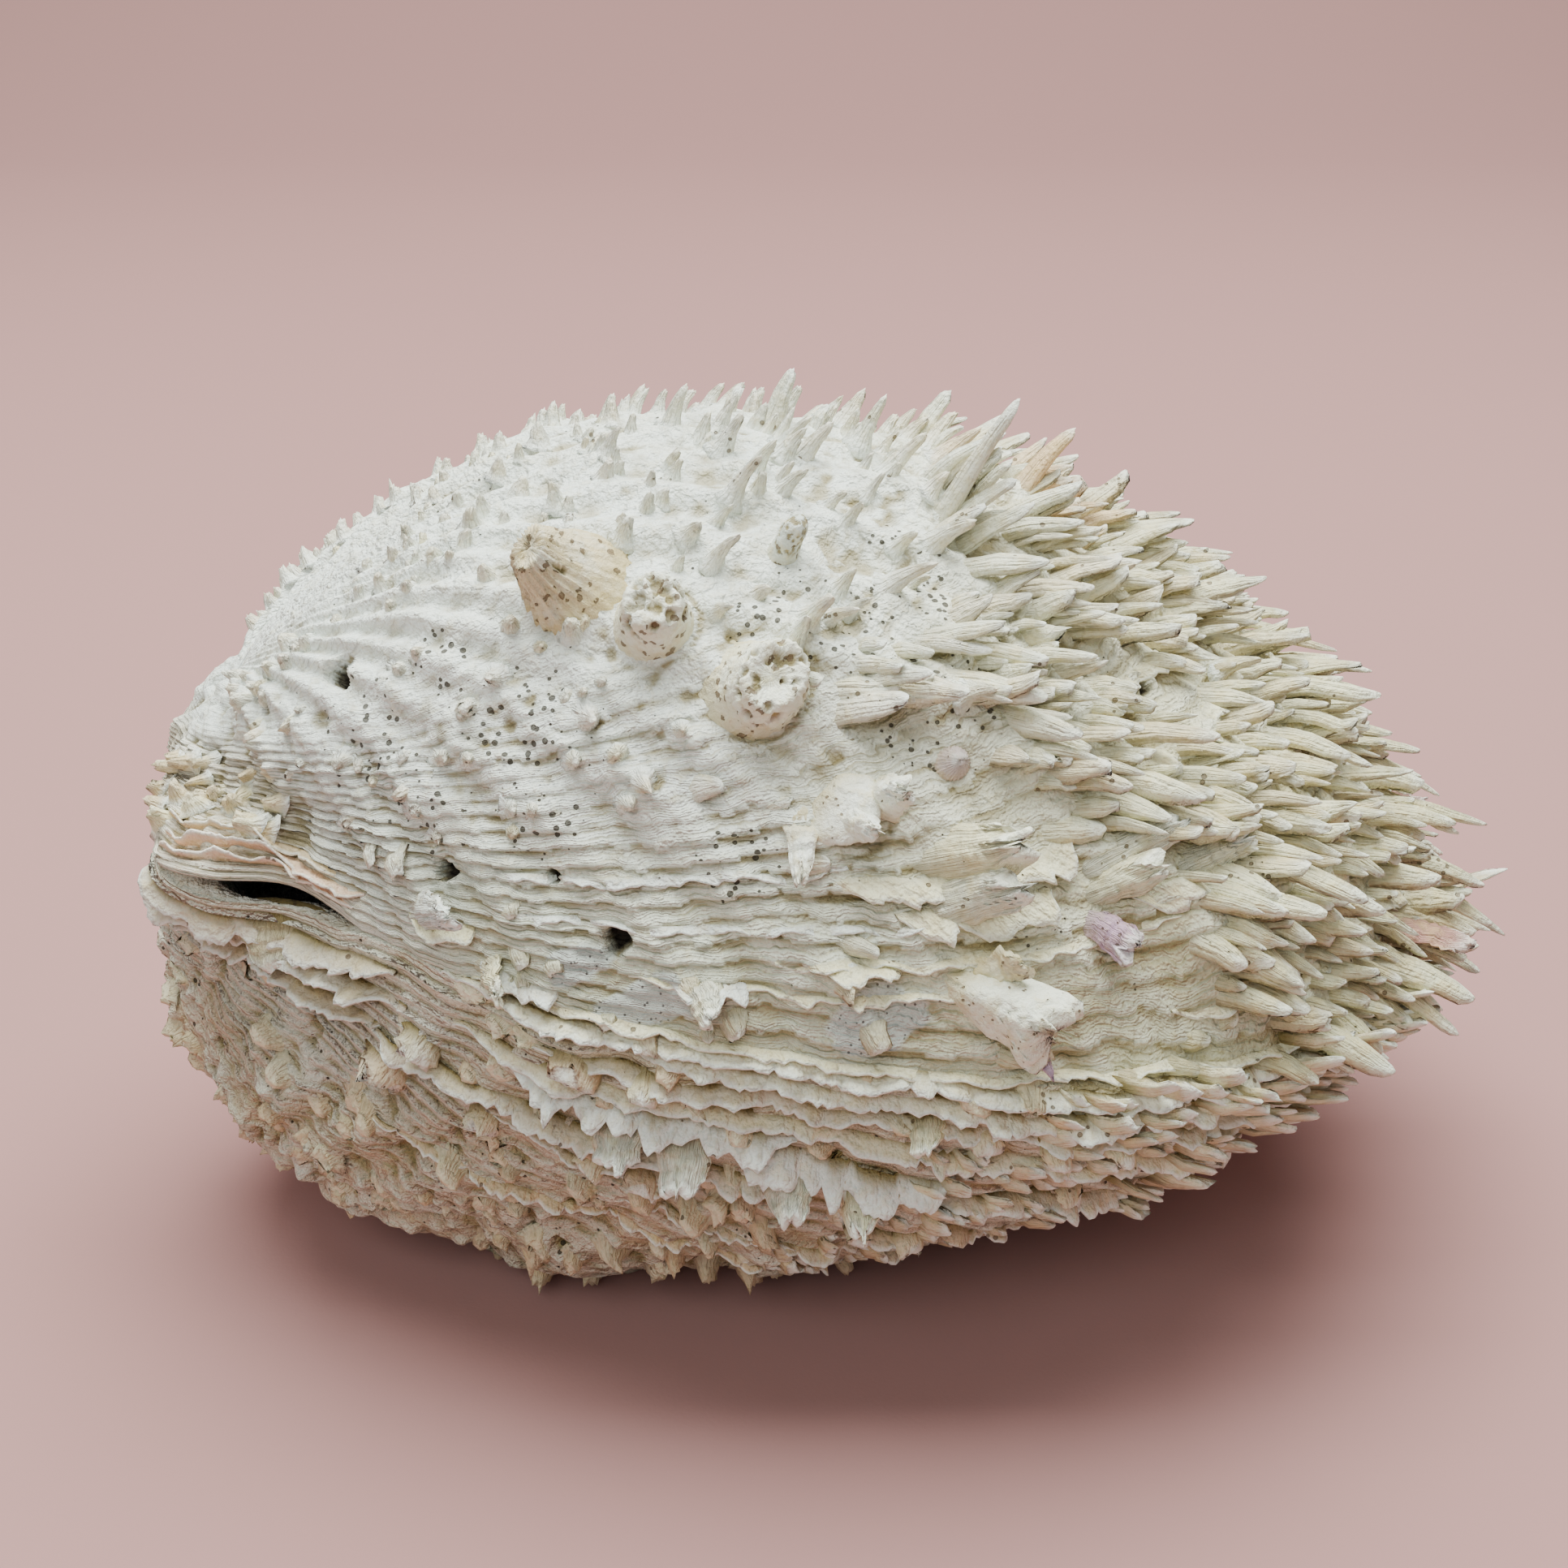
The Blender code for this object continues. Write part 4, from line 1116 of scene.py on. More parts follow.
def valve_material(name, pore_size, pore_share, stain_and_shade_share, chalk):
    """Weathered shell: growth lines, sponge pores, stains in the grooves mixed with painted shade, and
    painted highlights on ridges.
    """
    n = Nodes(name)
    growth, stain_and_shade, banded, relief_light_and_shade = (n.attribute(k) for k in ("growth", "stain_and_shade", "banded", "relief_light_and_shade"))
    wander = n.noise(3.0, 2.0)
    medium = n.noise(1.7, 3.0, 0.62)
    wide = n.noise(13.0, 3.0, 0.6)
    lines = n.math("ADD", n.times(growth, 2.6), n.times(wander, 1.8))
    uneven = n.ramp(n.noise(7.0, 2.0), 0.35, 0.65, 0.25, 1.0)
    groove = n.times(n.times(n.ramp(n.math("FRACT", lines), 0.62, 0.98), banded), uneven)
    finer = n.math("ADD", n.times(growth, 8.0), n.times(wander, 5.0))
    ripple = n.times(n.math("SINE", n.times(finer, 2 * math.pi)), banded)
    colour = n.blend(n.ramp(wide, 0.35, 0.7, 0.0, 0.25), n.attribute("tint", True), WHITE * 0.98)
    colour = n.blend(n.ramp(medium, 0.48, 0.75, 0.0, 0.26), colour, OCHRE * 1.1)
    # Growth-line grooves painted darker: partly stain, partly painted shade in the fine grooves
    colour = n.blend(n.times(groove, 0.62), colour, OCHRE * 0.5)
    # Painted shade in the low spots and painted highlight on the raised spots of the relief
    colour = n.blend(n.ramp(relief_light_and_shade, 0.47, 0.08, 0.0, 0.7), colour, OCHRE * 0.5)
    colour = n.blend(n.ramp(relief_light_and_shade, 0.55, 0.90, 0.0, 0.4), colour, mix(WHITE, CREAM, 0.4))
    # Ochre stain in the grooves with painted shade under the ledges and along the contact-shadow lines
    stain = n.times(stain_and_shade, n.ramp(wander, 0.25, 0.6, 0.2, stain_and_shade_share))
    colour = n.blend(n.math("MINIMUM", stain, 0.9), colour, OCHRE * 0.36)
    many = n.times(n.ramp(wide, 0.62 - 0.3 * pore_share, 0.75), 0.22)
    allowed = n.math("MAXIMUM", many, n.times(n.attribute("pores"), 0.285))
    allowed = n.times(allowed, n.ramp(wander, 0.3, 0.6, 0.45, 1.15))
    hole = n.ramp(n.math("SUBTRACT", allowed, n.cells(pore_size)), 0.0, 0.05)
    colour = n.blend(n.times(hole, 0.9), colour, PORE_BLACK)
    crust = n.blend(n.ramp(n.cells(0.9), 0.14, 0.24, 0.85, 0.0), CRUST_GREY, CRUST_BLACK)
    colour = n.blend(n.attribute("crust"), colour, crust)
    # Painted shade: the floors of the bored holes are painted near black
    colour = n.blend(n.attribute("hole_shade"), colour, HOLE_SHADE)
    grit = n.noise(0.7, 1.0)
    normal = n.bump([(ripple, 0.04), (groove, -0.48), (medium, 1.7 * chalk), (grit, 0.4), (hole, -0.6)])
    return n.finish(colour, 0.82, normal, 0.3)


def spine_material(name, pale, tip_white, warm, root):
    """Spines and lamellae: streaked along their length, worn white at foot and tip."""
    n = Nodes(name)
    reach, flute = n.attribute("reach"), n.attribute("flute")
    joined = n.node("ShaderNodeCombineXYZ")
    n.put(joined.inputs[0], n.times(flute, 3.4))
    n.put(joined.inputs[1], n.times(reach, 1.2))
    streak = n.node("ShaderNodeTexNoise")
    streak.inputs["Scale"].default_value = 1.6
    streak.inputs["Detail"].default_value = 2.0
    n.put(streak.inputs["Vector"], joined.outputs[0])
    off_tip = n.ramp(reach, 0.99, 0.80)
    streaks = n.math("ADD", n.times(n.math("SUBTRACT", streak.outputs["Fac"], 0.5), off_tip), 0.5)
    mottle = n.noise(2.4, 3.0)
    colour = n.blend(n.ramp(mottle, 0.42, 0.7, 0.0, 0.3), n.attribute("tint", True), OCHRE * 1.25)
    colour = n.blend(n.ramp(streaks, 0.5, 0.72, 0.0, 0.36), colour, TAN * 0.8)
    colour = n.blend(n.ramp(reach, 0.25, 0.8, 0.0, warm), colour, TAN * 1.1)
    worn = n.math("MAXIMUM", n.ramp(reach, 0.0, 0.35, pale, 0.0), n.ramp(reach, 0.7, 1.0, 0.0, tip_white))
    colour = n.blend(n.times(worn, n.ramp(mottle, 0.3, 0.5, 0.5, 1.0)), colour, WHITE)
    # Darker towards the root: partly stain, partly painted shade where the spine meets the shell
    colour = n.blend(n.ramp(reach, 0.6, 0.0, 0.0, root), colour, OCHRE * 0.4)
    specks = n.times(n.ramp(n.noise(6.0, 1.0), 0.54, 0.7), 0.26)
    spots = n.ramp(n.math("SUBTRACT", specks, n.cells(1.5)), 0.0, 0.06)
    colour = n.blend(n.times(spots, 0.8), colour, BROWN * 0.35)
    grit = n.noise(0.8, 2.0, 0.6)
    colour = n.blend(n.ramp(grit, 0.52, 0.7, 0.0, 0.22), colour, OCHRE * 0.7)
    return n.finish(colour, 0.7, n.bump([(streaks, 0.8), (mottle, 0.6), (grit, 0.45), (spots, -0.4)]), 0.3)


def growth_material(name, pore, cell):
    """Worn stumps and settled shells, coloured by their own tint."""
    n = Nodes(name)
    mottle = n.noise(1.8, 4.0, 0.62)
    colour = n.blend(n.ramp(mottle, 0.42, 0.72, 0.0, 0.45), n.attribute("tint", True), OCHRE * 1.05)
    colour = n.blend(n.ramp(n.noise(3.4, 3.0), 0.5, 0.75, 0.0, 0.5), colour, WHITE)
    # Darker ochre towards the foot: partly stain, partly painted shade where the growth meets the shell
    colour = n.blend(n.ramp(n.attribute("reach"), 0.5, 0.0, 0.0, 0.55), colour, OCHRE * 0.9)
    allowed = n.times(n.ramp(mottle, 0.38, 0.62), pore)
    spots = n.ramp(n.math("SUBTRACT", allowed, n.cells(cell)), 0.0, 0.06)
    colour = n.blend(n.times(spots, 0.85), colour, BROWN * 0.4)
    return n.finish(colour, 0.66, n.bump([(mottle, 0.9), (spots, -0.5)]), 0.35)


def stage_material(name, colour):
    """Matt paper with a faint unevenness."""
    n = Nodes(name)
    toned = n.blend(n.ramp(n.noise(90.0, 2.0), 0.3, 0.7, 0.0, 0.06), colour, 0.9 * colour)
    return n.finish(toned, 0.9, n.bump([(n.noise(0.6, 1.0), 0.02)]), 0.2)


# Lofted growths: place, rows of height, radius across, radius along and slide along the growth, lean
# to the margin, sway to the front, colour, pits (count, size, depth) and depth of the flutes
Growth = namedtuple("Growth", "at rows lean sway tint pits flutes", defaults=((0, 0, 0), 0.0))
FIN_ROWS = [(-3, 7.6, 7.0, 1.6), (0, 6.6, 5.8, 1.0), (2.6, 5.2, 4.2, 0.2), (5, 4.2, 3.0, -0.4),
            (7.2, 3.5, 2.3, -0.8), (8.2, 2.9, 1.7, -0.8), (7.8, 1.2, 0.6, -0.8)]
COMB_ROWS = [(-3, 6.0, 6.0, -1.0), (0, 4.9, 4.8, -0.4), (3.0, 4.3, 4.2, 0), (5.6, 4.1, 3.9, 0.2),
             (7.2, 3.7, 3.4, 0.2), (7.6, 2.6, 2.3, 0.2), (7.5, 1.0, 0.8, 0.2)]
CRESCENT_ROWS = [(-3, 7.2, 6.8, -1.0), (0, 5.9, 5.4, 0), (2.6, 5.4, 4.9, 0.5), (5.2, 5.1, 4.3, 0.8),
                 (7.0, 4.6, 3.6, 0.8), (6.9, 3.4, 2.5, 0.6), (6.2, 1.4, 1.0, 0.4)]
GRIT_ROWS = [(-2, 3.0, 2.6, 0), (0, 2.4, 2.0, 0), (2.2, 2.2, 1.7, 0), (4.2, 2.0, 1.5, 0.2),
             (5.4, 1.4, 1.1, 0.3), (5.8, 0.6, 0.5, 0.3)]
FOLD_ROWS = [(-1.5, 5.6, 3.2, 0), (0.5, 5.2, 2.8, 0), (2.2, 4.3, 2.2, 0.6), (3.6, 3.2, 1.6, 1.4),
             (4.3, 1.8, 0.9, 2.0), (4.1, 0.6, 0.3, 2.2)]
LIMPET_ROWS = [(-0.8, 2.6, 2.2, 0), (0.2, 2.5, 2.1, 0), (1.4, 1.7, 1.4, 0.2), (2.3, 0.8, 0.6, 0.4),
               (2.5, 0.2, 0.2, 0.4)]
STUMP_FORMS = [
    Growth((0.645, 0.160), FIN_ROWS, -0.1, -0.15, mix(TAN, CREAM, 0.35), (12, 0.6, 0.5), 0.4),
    Growth((0.550, 0.170), COMB_ROWS, 0.0, -0.05, mix(WHITE, CREAM, 0.4), (34, 0.9, 0.8), 0.08),
    Growth((0.445, 0.177), CRESCENT_ROWS, 0.1, 0.0, mix(WHITE, CREAM, 0.5), (30, 0.9, 0.8), 0.14),
    Growth((0.540, 0.102), GRIT_ROWS, 0.1, 0.1, CRUST_GREY * 1.15, (90, 0.4, 0.2)),
]
FOLD_BODY = Growth((0.300, 0.2), FOLD_ROWS, 0.5, 0.0, FOLD_TINT)
LIMPET = Growth((0.315, 0.1575), LIMPET_ROWS, 0.0, 0.0, mix(CREAM, LILAC, 0.6), flutes=0.14)

# Broad sheets: place, colour, length, heading off the surface and to the margin, width, share of it at
# the tip, arch, thickness, heading to the front and to the floor, curl and raggedness of the end
Sheet = namedtuple("Sheet", "at tint length rise out width tip arch thick sway droop curl ragged",
                   defaults=(0.0, 0.0, 0.12, 0.22))
FOLD_SHEETS = [
    Sheet((0.300, 0.202), FOLD_TINT, 8.5, 1.1, 1.0, 8.0, 0.15, 0.9, 1.8, 0.1),
    Sheet((0.305, 0.190), FOLD_TINT, 7.5, 1.2, 0.5, 6.5, 0.5, 0.8, 1.8, 0.5),
    Sheet((0.296, 0.214), FOLD_TINT, 8.0, 0.4, 0.7, 5.0, 0.3, 0.3, 1.4, -0.9),
]
CUP_SHEETS = [
    Sheet((0.108, 0.213), CUP_TINT, 12.5, 0.9, 0.1, 5.0, 2.1, 0.8, 1.5, 0.75, 0.75, -0.1, 0.36),
    Sheet((0.093, 0.206), mix(CUP_TINT, OCHRE, 0.5), 9.5, 0.6, 0.5, 4.0, 1.6, 0.6, 1.3, 0.8, 0.9, 0.12, 0.34),
    Sheet((0.108, 0.206), mix(CUP_TINT, OCHRE, 0.5), 8.0, 0.9, 0.1, 4.0, 1.2, 0.4, 1.2, 1.0),
    Sheet((0.070, 0.200), LILAC, 9.5, 1.0, 0.4, 7.0, 0.05, 0.35, 1.0, 0.25, 1.1, 0.12, 0.06),
]
SCALES = [
    Sheet((0.180, 0.205), mix(CREAM, WHITE, 0.4), 13.0, 0.35, 0.45, 7.0, 0.9, 0.7, 1.8, 1.0, 0.0, 0.3, 0.32),
    Sheet((0.168, 0.160), CREAM, 9.0, 0.4, 0.4, 5.0, 0.8, 0.6, 1.6, 1.0, 0.0, 0.3, 0.3),
    Sheet((0.190, 0.150), mix(CREAM, WHITE, 0.4), 11.0, 0.25, 0.35, 6.5, 0.7, 0.6, 2.0, 1.0),
    Sheet((0.165, 0.130), mix(CREAM, WHITE, 0.4), 9.5, 0.25, 0.4, 6.0, 0.65, 0.6, 1.8, 1.0),
    Sheet((0.232, 0.195), mix(CREAM, OCHRE, 0.1), 14.0, 0.4, 0.6, 7.0, 0.85, 0.7, 1.7, 0.8, 0.0, 0.3, 0.32),
    Sheet((0.150, 0.165), LILAC * 1.05, 7.0, 0.9, 0.6, 4.5, 1.2, 0.6, 1.4, 0.2, 0.4),
    Sheet((0.105, 0.362), WHITE, 12.0, 0.35, 0.3, 5.0, 0.8, 0.3, 1.8, 1.0),
    Sheet((0.030, 0.345), CREAM, 8.0, 0.8, 0.5, 4.5, 0.8, 0.4, 1.6, 0.8),
    Sheet((0.040, 0.062), RED_BROWN, 11.0, 1.1, 0.9, 6.5, 0.8, 0.3, 1.2, -0.1),
    Sheet((0.075, 0.006), RED_BROWN * 0.8, 9.0, 0.8, 1.0, 4.5, 0.7, 0.3, 1.2),
    Sheet((0.085, 0.282), CUP_TINT, 6.5, 0.8, 0.8, 4.2, 0.7, 0.5, 1.6, 0.2),
]
LOW_SCALES = [
    Sheet((0.030, 0.412), mix(CREAM, SALMON, 0.15), 7.6, 0.45, 0.0, 15.0, 0.3, 0.05, 1.0, 0.0, 1.2),
    Sheet((0.140, 0.290), CUP_TINT, 7.5, 0.8, 0.0, 8.5, 0.7, 0.4, 2.0, 0.0, 0.8),
    Sheet((0.140, 0.272), CUP_TINT, 8.0, 0.8, 0.0, 7.5, 0.7, 0.4, 2.0, 0.0, 0.9),
    Sheet((0.155, 0.238), CUP_TINT, 8.5, 0.9, 0.0, 8.5, 0.45, 0.5, 2.0, 0.0, 0.7),
    Sheet((0.155, 0.219), CREAM, 8.0, 0.9, 0.1, 7.5, 0.4, 0.5, 2.0, 0.0, 0.7),
    Sheet((0.050, 0.225), CREAM, 5.0, 0.8, 0.1, 5.5, 0.6, 0.4, 1.6, 0.0, 0.6),
]

# Lamellae: place, ends, length, heading off the surface, to the margin and to the floor, number of teeth,
# depth of the teeth and colour
UPPER_LACE = [
    (0.004, (0.02, 0.35), 1.9, 1.0, 0.5, 0.2, 46, 0.45, CREAM),
    (0.050, (0.05, 0.16), 2.6, 0.8, 1.0, 0.0, 15, 0.5, CREAM),
    (0.085, (0.185, 0.30), 1.8, 0.9, 0.8, 0.0, 14, 0.7, CREAM),
    (0.125, (0.14, 0.26), 1.8, 0.8, 0.9, 0.0, 15, 0.6, CREAM),
    (0.165, (0.17, 0.33), 1.5, 0.8, 0.9, 0.0, 20, 0.7, WHITE),
    (0.215, (0.150, 0.225), 4.8, 0.45, 1.0, 0.0, 7, 0.35, CREAM),
    (0.235, (0.215, 0.32), 1.5, 0.7, 1.0, 0.0, 12, 0.6, WHITE),
    (0.175, (0.170, 0.215), 6.5, 0.55, 1.0, 0.0, 3, 0.5, CREAM),
    (0.155, (0.118, 0.150), 5.5, 0.5, 1.0, 0.0, 2, 0.5, CREAM),
    (0.120, (0.224, 0.244), 4.2, 0.9, 0.8, 0.0, 3, 0.6, CREAM),
    (0.085, (0.268, 0.288), 4.6, 0.9, 0.9, 0.0, 2, 0.6, WHITE),
    (0.035, (0.322, 0.345), 4.2, 0.9, 0.9, 0.0, 2, 0.5, WHITE),
    (0.105, (0.342, 0.362), 4.2, 0.7, 1.0, 0.0, 2, 0.4, CREAM),
    (0.060, (0.385, 0.455), 2.4, 1.0, 0.1, 0.0, 4, 0.5, SALMON),
    (0.100, (0.380, 0.450), 3.2, 1.0, 0.2, 0.0, 4, 0.6, SALMON),
    (0.140, (0.385, 0.450), 3.2, 0.9, 0.4, 0.0, 5, 0.6, TAN),
    (0.050, (0.00, 0.12), 4.2, 0.45, 1.0, 0.0, 12, 0.6, CREAM),
    (0.095, (0.01, 0.14), 4.0, 0.4, 1.0, 0.0, 12, 0.6, CREAM),
    (0.140, (0.00, 0.135), 4.2, 0.4, 1.0, 0.0, 12, 0.6, CREAM),
    (0.190, (0.01, 0.13), 4.0, 0.4, 1.0, 0.0, 10, 0.6, CREAM),
    (0.245, (0.00, 0.13), 4.2, 0.4, 1.0, 0.0, 10, 0.6, CREAM),
    (0.300, (0.01, 0.12), 4.0, 0.4, 1.0, 0.0, 9, 0.6, CREAM),
    (0.004, (0.66, 0.98), 2.4, 1.0, 0.6, 0.1, 34, 0.5, CREAM),
    (0.060, (0.70, 0.95), 2.2, 0.9, 0.8, 0.0, 24, 0.6, CREAM),
    (0.130, (0.66, 0.90), 2.0, 0.9, 0.8, 0.0, 22, 0.6, WHITE),
    (0.210, (0.64, 0.86), 1.8, 0.9, 0.8, 0.0, 18, 0.6, WHITE),
]
LOWER_LACE = [
    (0.006, (0.02, 0.36), 3.8, 1.0, 0.1, 0.35, 30, 0.6, mix(CREAM, WHITE, 0.5)),
    (0.030, (0.14, 0.31), 3.8, 1.0, 0.0, 0.45, 15, 0.65, mix(CREAM, WHITE, 0.5)),
    (0.060, (0.04, 0.33), 3.2, 1.0, 0.0, 0.4, 24, 0.6, ROSE),
    (0.095, (0.10, 0.35), 3.6, 1.0, 0.0, 0.4, 20, 0.6, mix(CREAM, ROSE, 0.5)),
    (0.120, (0.245, 0.325), 6.0, 0.95, 0.0, 0.45, 7, 0.6, WHITE),
    (0.140, (0.196, 0.262), 7.2, 0.9, 0.0, 0.55, 6, 0.65, WHITE),
    (0.180, (0.06, 0.20), 4.2, 1.0, 0.1, 0.4, 13, 0.6, ROSE),
    (0.210, (0.22, 0.36), 3.8, 1.0, 0.0, 0.4, 13, 0.6, ROSE),
    (0.260, (0.08, 0.20), 2.6, 1.0, 0.0, 0.4, 12, 0.8, PINK_BEIGE),
    (0.270, (0.24, 0.31), 2.2, 1.0, 0.0, 0.4, 6, 0.8, PINK_BEIGE),
    (0.330, (0.13, 0.25), 2.4, 1.0, 0.0, 0.3, 11, 0.8, PINK_BEIGE),
    (0.400, (0.10, 0.33), 2.2, 1.0, 0.0, 0.3, 22, 0.8, TAN),
    (0.060, (0.37, 0.46), 4.4, 0.9, 0.0, 0.5, 6, 0.6, ROSE),
    (0.120, (0.36, 0.47), 4.6, 1.0, 0.0, 0.3, 8, 0.6, ROSE),
    (0.200, (0.36, 0.48), 4.4, 1.0, 0.0, 0.2, 8, 0.6, PINK_BEIGE),
    (0.006, (0.66, 0.98), 3.4, 1.0, 0.1, 0.3, 28, 0.5, CREAM),
    (0.070, (0.66, 0.96), 3.4, 1.0, 0.0, 0.4, 30, 0.6, ROSE),
    (0.140, (0.64, 0.95), 4.2, 1.0, 0.0, 0.5, 28, 0.6, ROSE),
    (0.220, (0.62, 0.93), 3.8, 1.0, 0.0, 0.4, 26, 0.7, PINK_BEIGE),
    (0.310, (0.62, 0.92), 3.8, 1.0, 0.0, 0.3, 24, 0.7, PINK_BEIGE),
    (0.410, (0.60, 0.92), 3.4, 1.0, 0.0, 0.2, 22, 0.7, TAN),
]

# Painted contact shadows as dark lines round what sits on the shell, patches of sponge pores, and grey crusts
# (width and height)
SHADE_SEAMS = [((0.445, 0.177), 6.4), ((0.550, 0.170), 5.4), ((0.645, 0.160), 6.2), ((0.300, 0.200), 6.4),
         ((0.095, 0.208), 5.5)]
PORE_PATCHES = [((0.55, 0.325), 11), ((0.44, 0.335), 10), ((0.34, 0.325), 8), ((0.42, 0.115), 16),
                ((0.36, 0.145), 12), ((0.50, 0.255), 11), ((0.36, 0.285), 9), ((0.25, 0.245), 8),
                ((0.48, 0.14), 12), ((0.62, 0.25), 8), ((0.47, 0.08), 10)]
CRUST_PATCHES = [((0.040, 0.300), 7.0, 3.2), ((0.095, 0.3125), 4.5, 2.6), ((0.065, 0.2375), 6.0, 4.2)]

# Stumps stand on even ground of this radius and height, and holes are wider and deeper than in the solids
STUMP_SEAT = (5.5, 0.6)
HOLE_WIDENING = 1.15
HOLE_DEEPENING = 0.8

# Kinds of growths: corners round them, steps along them, widening at the foot, share of their thickness
# that is sunk in, and how much the surface swells round them
KINDS = (("spines", 10, BLADE_STEPS, 0.25, 0.75, 0.22), ("shingles", 8, SHINGLE_STEPS, 0.15, 0.8, 0.12),
         ("cones", 8, CONE_STEPS, 0.75, 0.3, 0.34), ("nubs", 7, NUB_STEPS, 0.5, 0.3, 0.2))

# Valves, dressed with their growth lines, spines and lamellae
upper, lower = Valve("upper_valve"), Valve("lower_valve")
for at, (width, depth) in HOLES.items():
    upper.bore(at, HOLE_WIDENING * width, depth + HOLE_DEEPENING)
for at in STUMPS:
    upper.seat(at, *STUMP_SEAT)
upper_kinds, lower_kinds = upper_sites(upper), lower_sites(lower)
for kinds, valve in ((upper_kinds, upper), (lower_kinds, lower)):
    for group, kind in zip(kinds, KINDS):
        valve.swell(group.swells(kind[-1]))
for place in SHADE_SEAMS:
    upper.seam(*place)
for place in PORE_PATCHES:
    upper.bored(*place)
for place in CRUST_PATCHES:
    upper.crusted(*place)

upper_look = valve_material("upper_shell_look", pore_size=1.4, pore_share=0.45, stain_and_shade_share=0.95, chalk=0.7)
lower_look = valve_material("lower_shell_look", pore_size=1.9, pore_share=1.0, stain_and_shade_share=1.0, chalk=1.4)
spine_look = spine_material("spine_look", pale=0.3, tip_white=0.6, warm=0.0, root=0.3)
cone_look = spine_material("cone_look", pale=0.9, tip_white=0.1, warm=0.22, root=0.0)
low_spine_look = spine_material("lower_spine_look", pale=0.0, tip_white=0.85, warm=0.0, root=1.0)
low_cone_look = spine_material("lower_cone_look", pale=0.2, tip_white=0.1, warm=0.3, root=0.3)
growth_look = growth_material("growth_look", pore=0.22, cell=1.2)
stump_look = growth_material("stump_look", pore=0.42, cell=1.5)

for valve, name, look, node in ((upper, "upper_shell", upper_look, "upper_valve"),
                                (lower, "lower_shell", lower_look, "lower_valve")):
    shell = valve.build(name, look)
    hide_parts(node)

upper_looks = (spine_look, spine_look, cone_look, cone_look)
lower_looks = (low_spine_look, low_spine_look, low_cone_look, low_cone_look)
for kinds, prefix, looks, slot in ((upper_kinds, "upper", upper_looks, "upper_valve"),
                                   (lower_kinds, "lower", lower_looks, "lower_valve")):
    for group, look, (kind, around, steps, flare, depth, _) in zip(kinds, looks, KINDS):
        piece = blades(prefix + "_" + kind, group.arrays(), around, steps, flare, depth, look)

upper_frills = frills(upper, UPPER_LACE, seed=400)
lower_frills = frills(lower, LOWER_LACE, seed=700, crimp=0.6, thick=0.9, lobed=True)
join("upper_lamellae", upper_frills, spine_look)
join("lower_lamellae", lower_frills, low_spine_look)
stumps = [turned(upper, form, seed=31 + k, roughness=0.35) for k, form in enumerate(STUMP_FORMS)]
join("worn_stumps", stumps, stump_look)
fold_body = turned(upper, FOLD_BODY, seed=51, roughness=0.6)
fold = join("fold", [fold_body] + sheets(upper, FOLD_SHEETS, seed=60), growth_look)
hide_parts("fold_shell")
cup = join("cup", sheets(upper, CUP_SHEETS, seed=70), growth_look)
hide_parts("cup_shell")
join("upper_scales", sheets(upper, SCALES, seed=80), spine_look)
join("lower_scales", sheets(lower, LOW_SCALES, seed=90), low_spine_look)
limpet = turned(upper, LIMPET, seed=53, roughness=0.15)
join("limpet", [limpet], growth_look)

# Floor and backdrop
FLOOR_HALF = 1.6
FLOOR_FRONT = -1.4
CURVE_STEPS = 16
CURVE_START = 0.75
CURVE_RADIUS = 0.5
WALL_TOP = 1.6


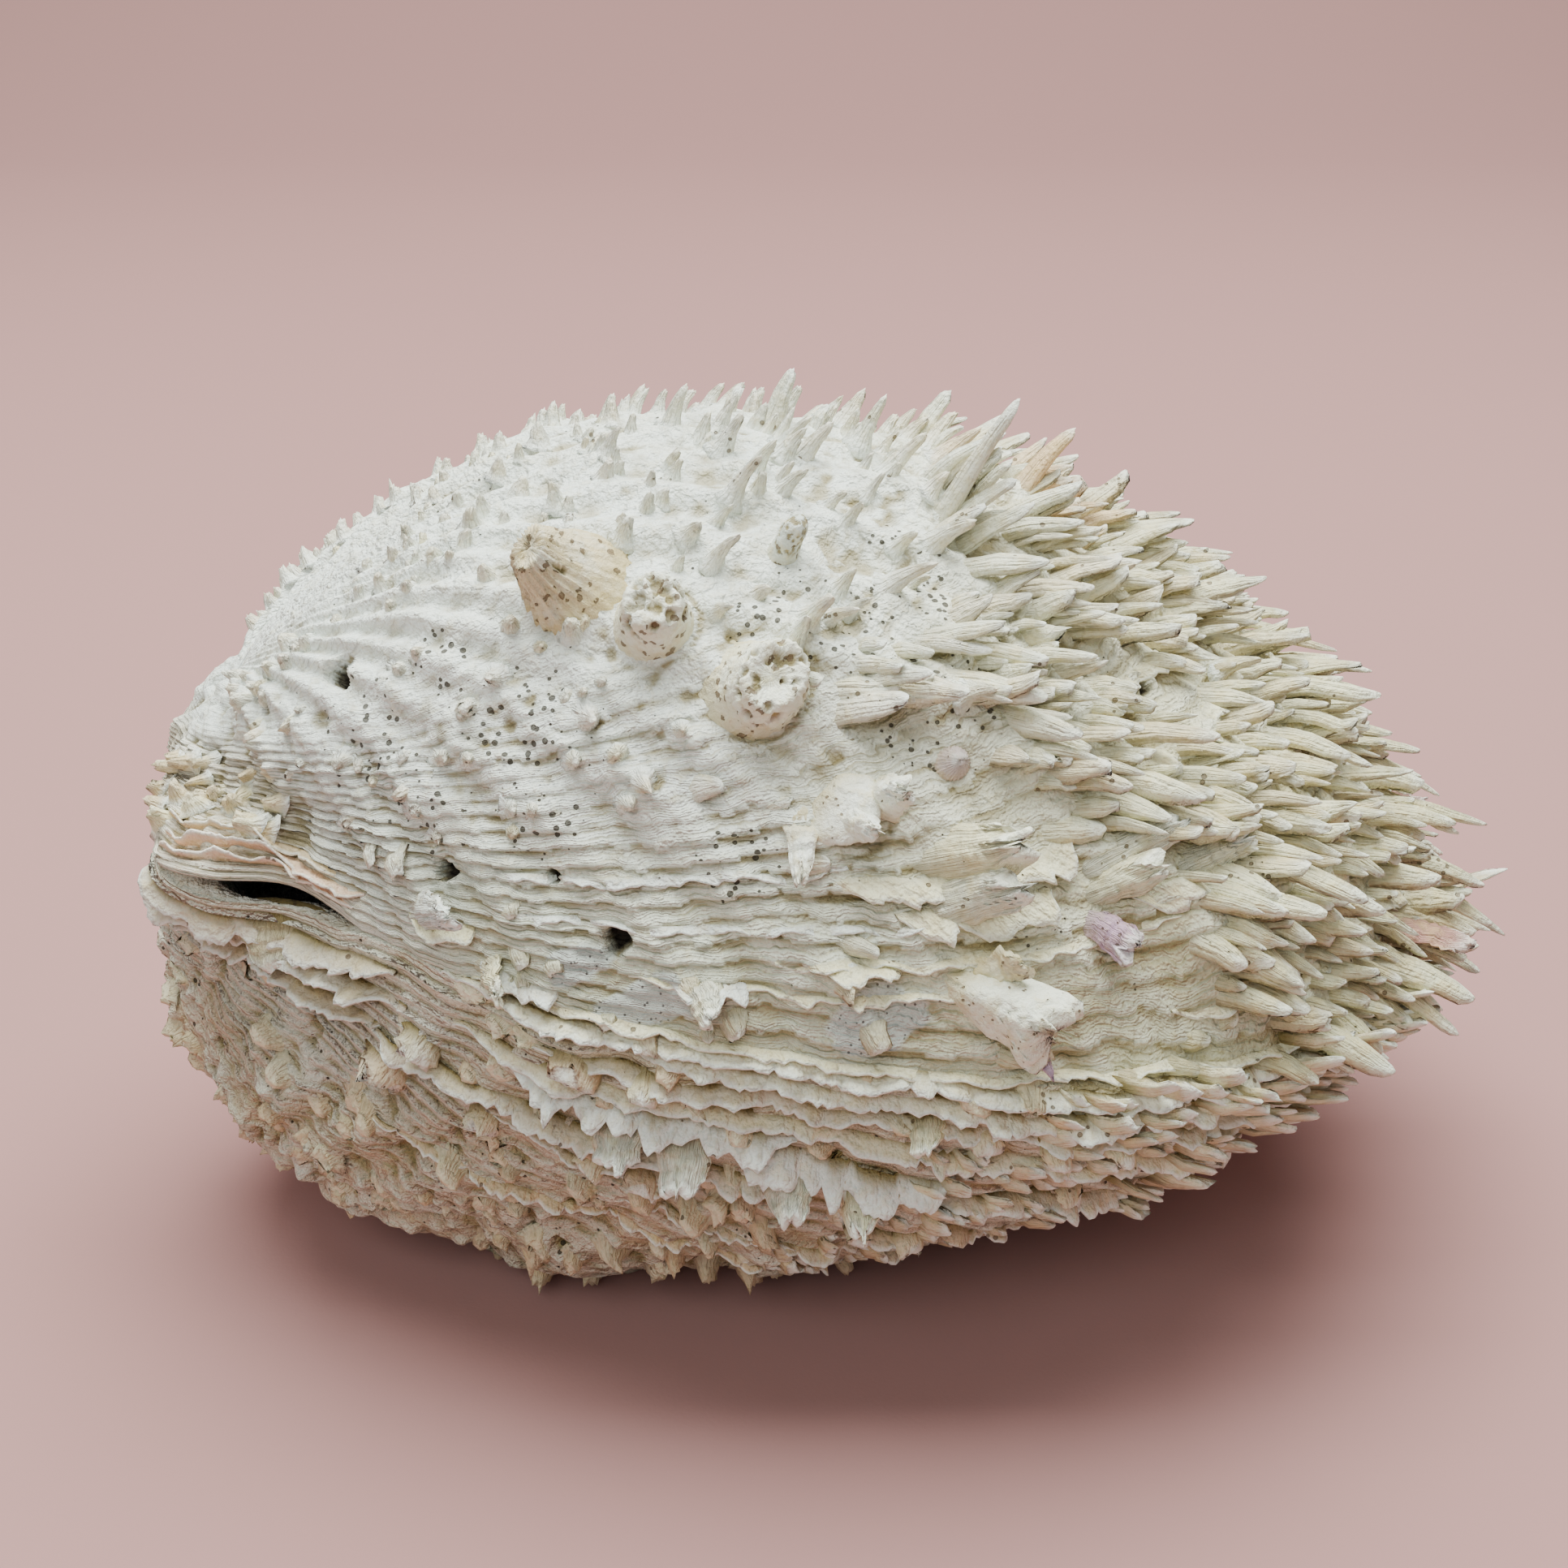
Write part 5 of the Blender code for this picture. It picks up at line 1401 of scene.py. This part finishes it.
def build_stage():
    """Pale floor that curves up into the backdrop."""
    profile = [(FLOOR_FRONT, 0.0), (CURVE_START, 0.0)]
    for k in range(1, CURVE_STEPS + 1):
        turn = math.pi / 2 * k / CURVE_STEPS
        profile.append((CURVE_START + CURVE_RADIUS * math.sin(turn), CURVE_RADIUS * (1 - math.cos(turn))))
    profile.append((CURVE_START + CURVE_RADIUS, WALL_TOP))
    points = [(side * FLOOR_HALF, y, z) for y, z in profile for side in (-1, 1)]
    faces = [(2 * k, 2 * k + 1, 2 * k + 3, 2 * k + 2) for k in range(len(profile) - 1)]
    mesh = bpy.data.meshes.new("floor")
    mesh.from_pydata(points, [], faces)
    mesh.shade_smooth()
    mesh.materials.append(stage_material("stage_paper", STAGE_PINK))
    floor = bpy.data.objects.new("floor", mesh)
    bpy.context.scene.collection.objects.link(floor)


def area_light(name, place, target, size, power, colour):
    data = bpy.data.lights.new(name, "AREA")
    data.shape = "RECTANGLE"
    data.size, data.size_y = size
    data.energy = power
    data.color = colour
    light = bpy.data.objects.new(name, data)
    light.location = place
    light.rotation_euler = (Vector(target) - Vector(place)).to_track_quat("-Z", "Y").to_euler()
    bpy.context.scene.collection.objects.link(light)


# Camera of the photograph
LENS = 52.0
SENSOR = 36.0
NEAREST = 0.01
TARGET = Vector((-8.36, 1.68, 64.0)) * MM
DISTANCE = 330.0 * MM
ELEVATION = math.radians(27.0)


def build_camera():
    data = bpy.data.cameras.new("camera")
    data.lens = LENS
    data.sensor_width = SENSOR
    data.clip_start = NEAREST
    camera = bpy.data.objects.new("camera", data)
    back = Vector((0, -math.cos(ELEVATION), math.sin(ELEVATION)))
    camera.location = TARGET + back * DISTANCE
    camera.rotation_euler = (-back).to_track_quat("-Z", "Y").to_euler()
    bpy.context.scene.collection.objects.link(camera)
    bpy.context.scene.camera = camera


# Soft lights: name, place, target, size, power in watts and colour
LIGHTS = [
    ("overhead", (0.0, 0.2, 1.1), (0, 0, 0.05), (1.2, 0.9), 40, (0.96, 1.0, 0.97)),
    ("front_fill", (-0.3, -0.9, 0.9), (0, 0, 0.06), (0.8, 0.6), 6.2, (0.95, 1.0, 0.98)),
]
ROOM_COLOUR = (0.82, 0.84, 0.84, 1)
ROOM_STRENGTH = 0.22


def build_room_light():
    world = bpy.data.worlds.new("world")
    bpy.context.scene.world = world
    world.use_nodes = True
    background = world.node_tree.nodes["Background"]
    background.inputs["Color"].default_value = ROOM_COLOUR
    background.inputs["Strength"].default_value = ROOM_STRENGTH


build_stage()
build_camera()
for light in LIGHTS:
    area_light(*light)
build_room_light()
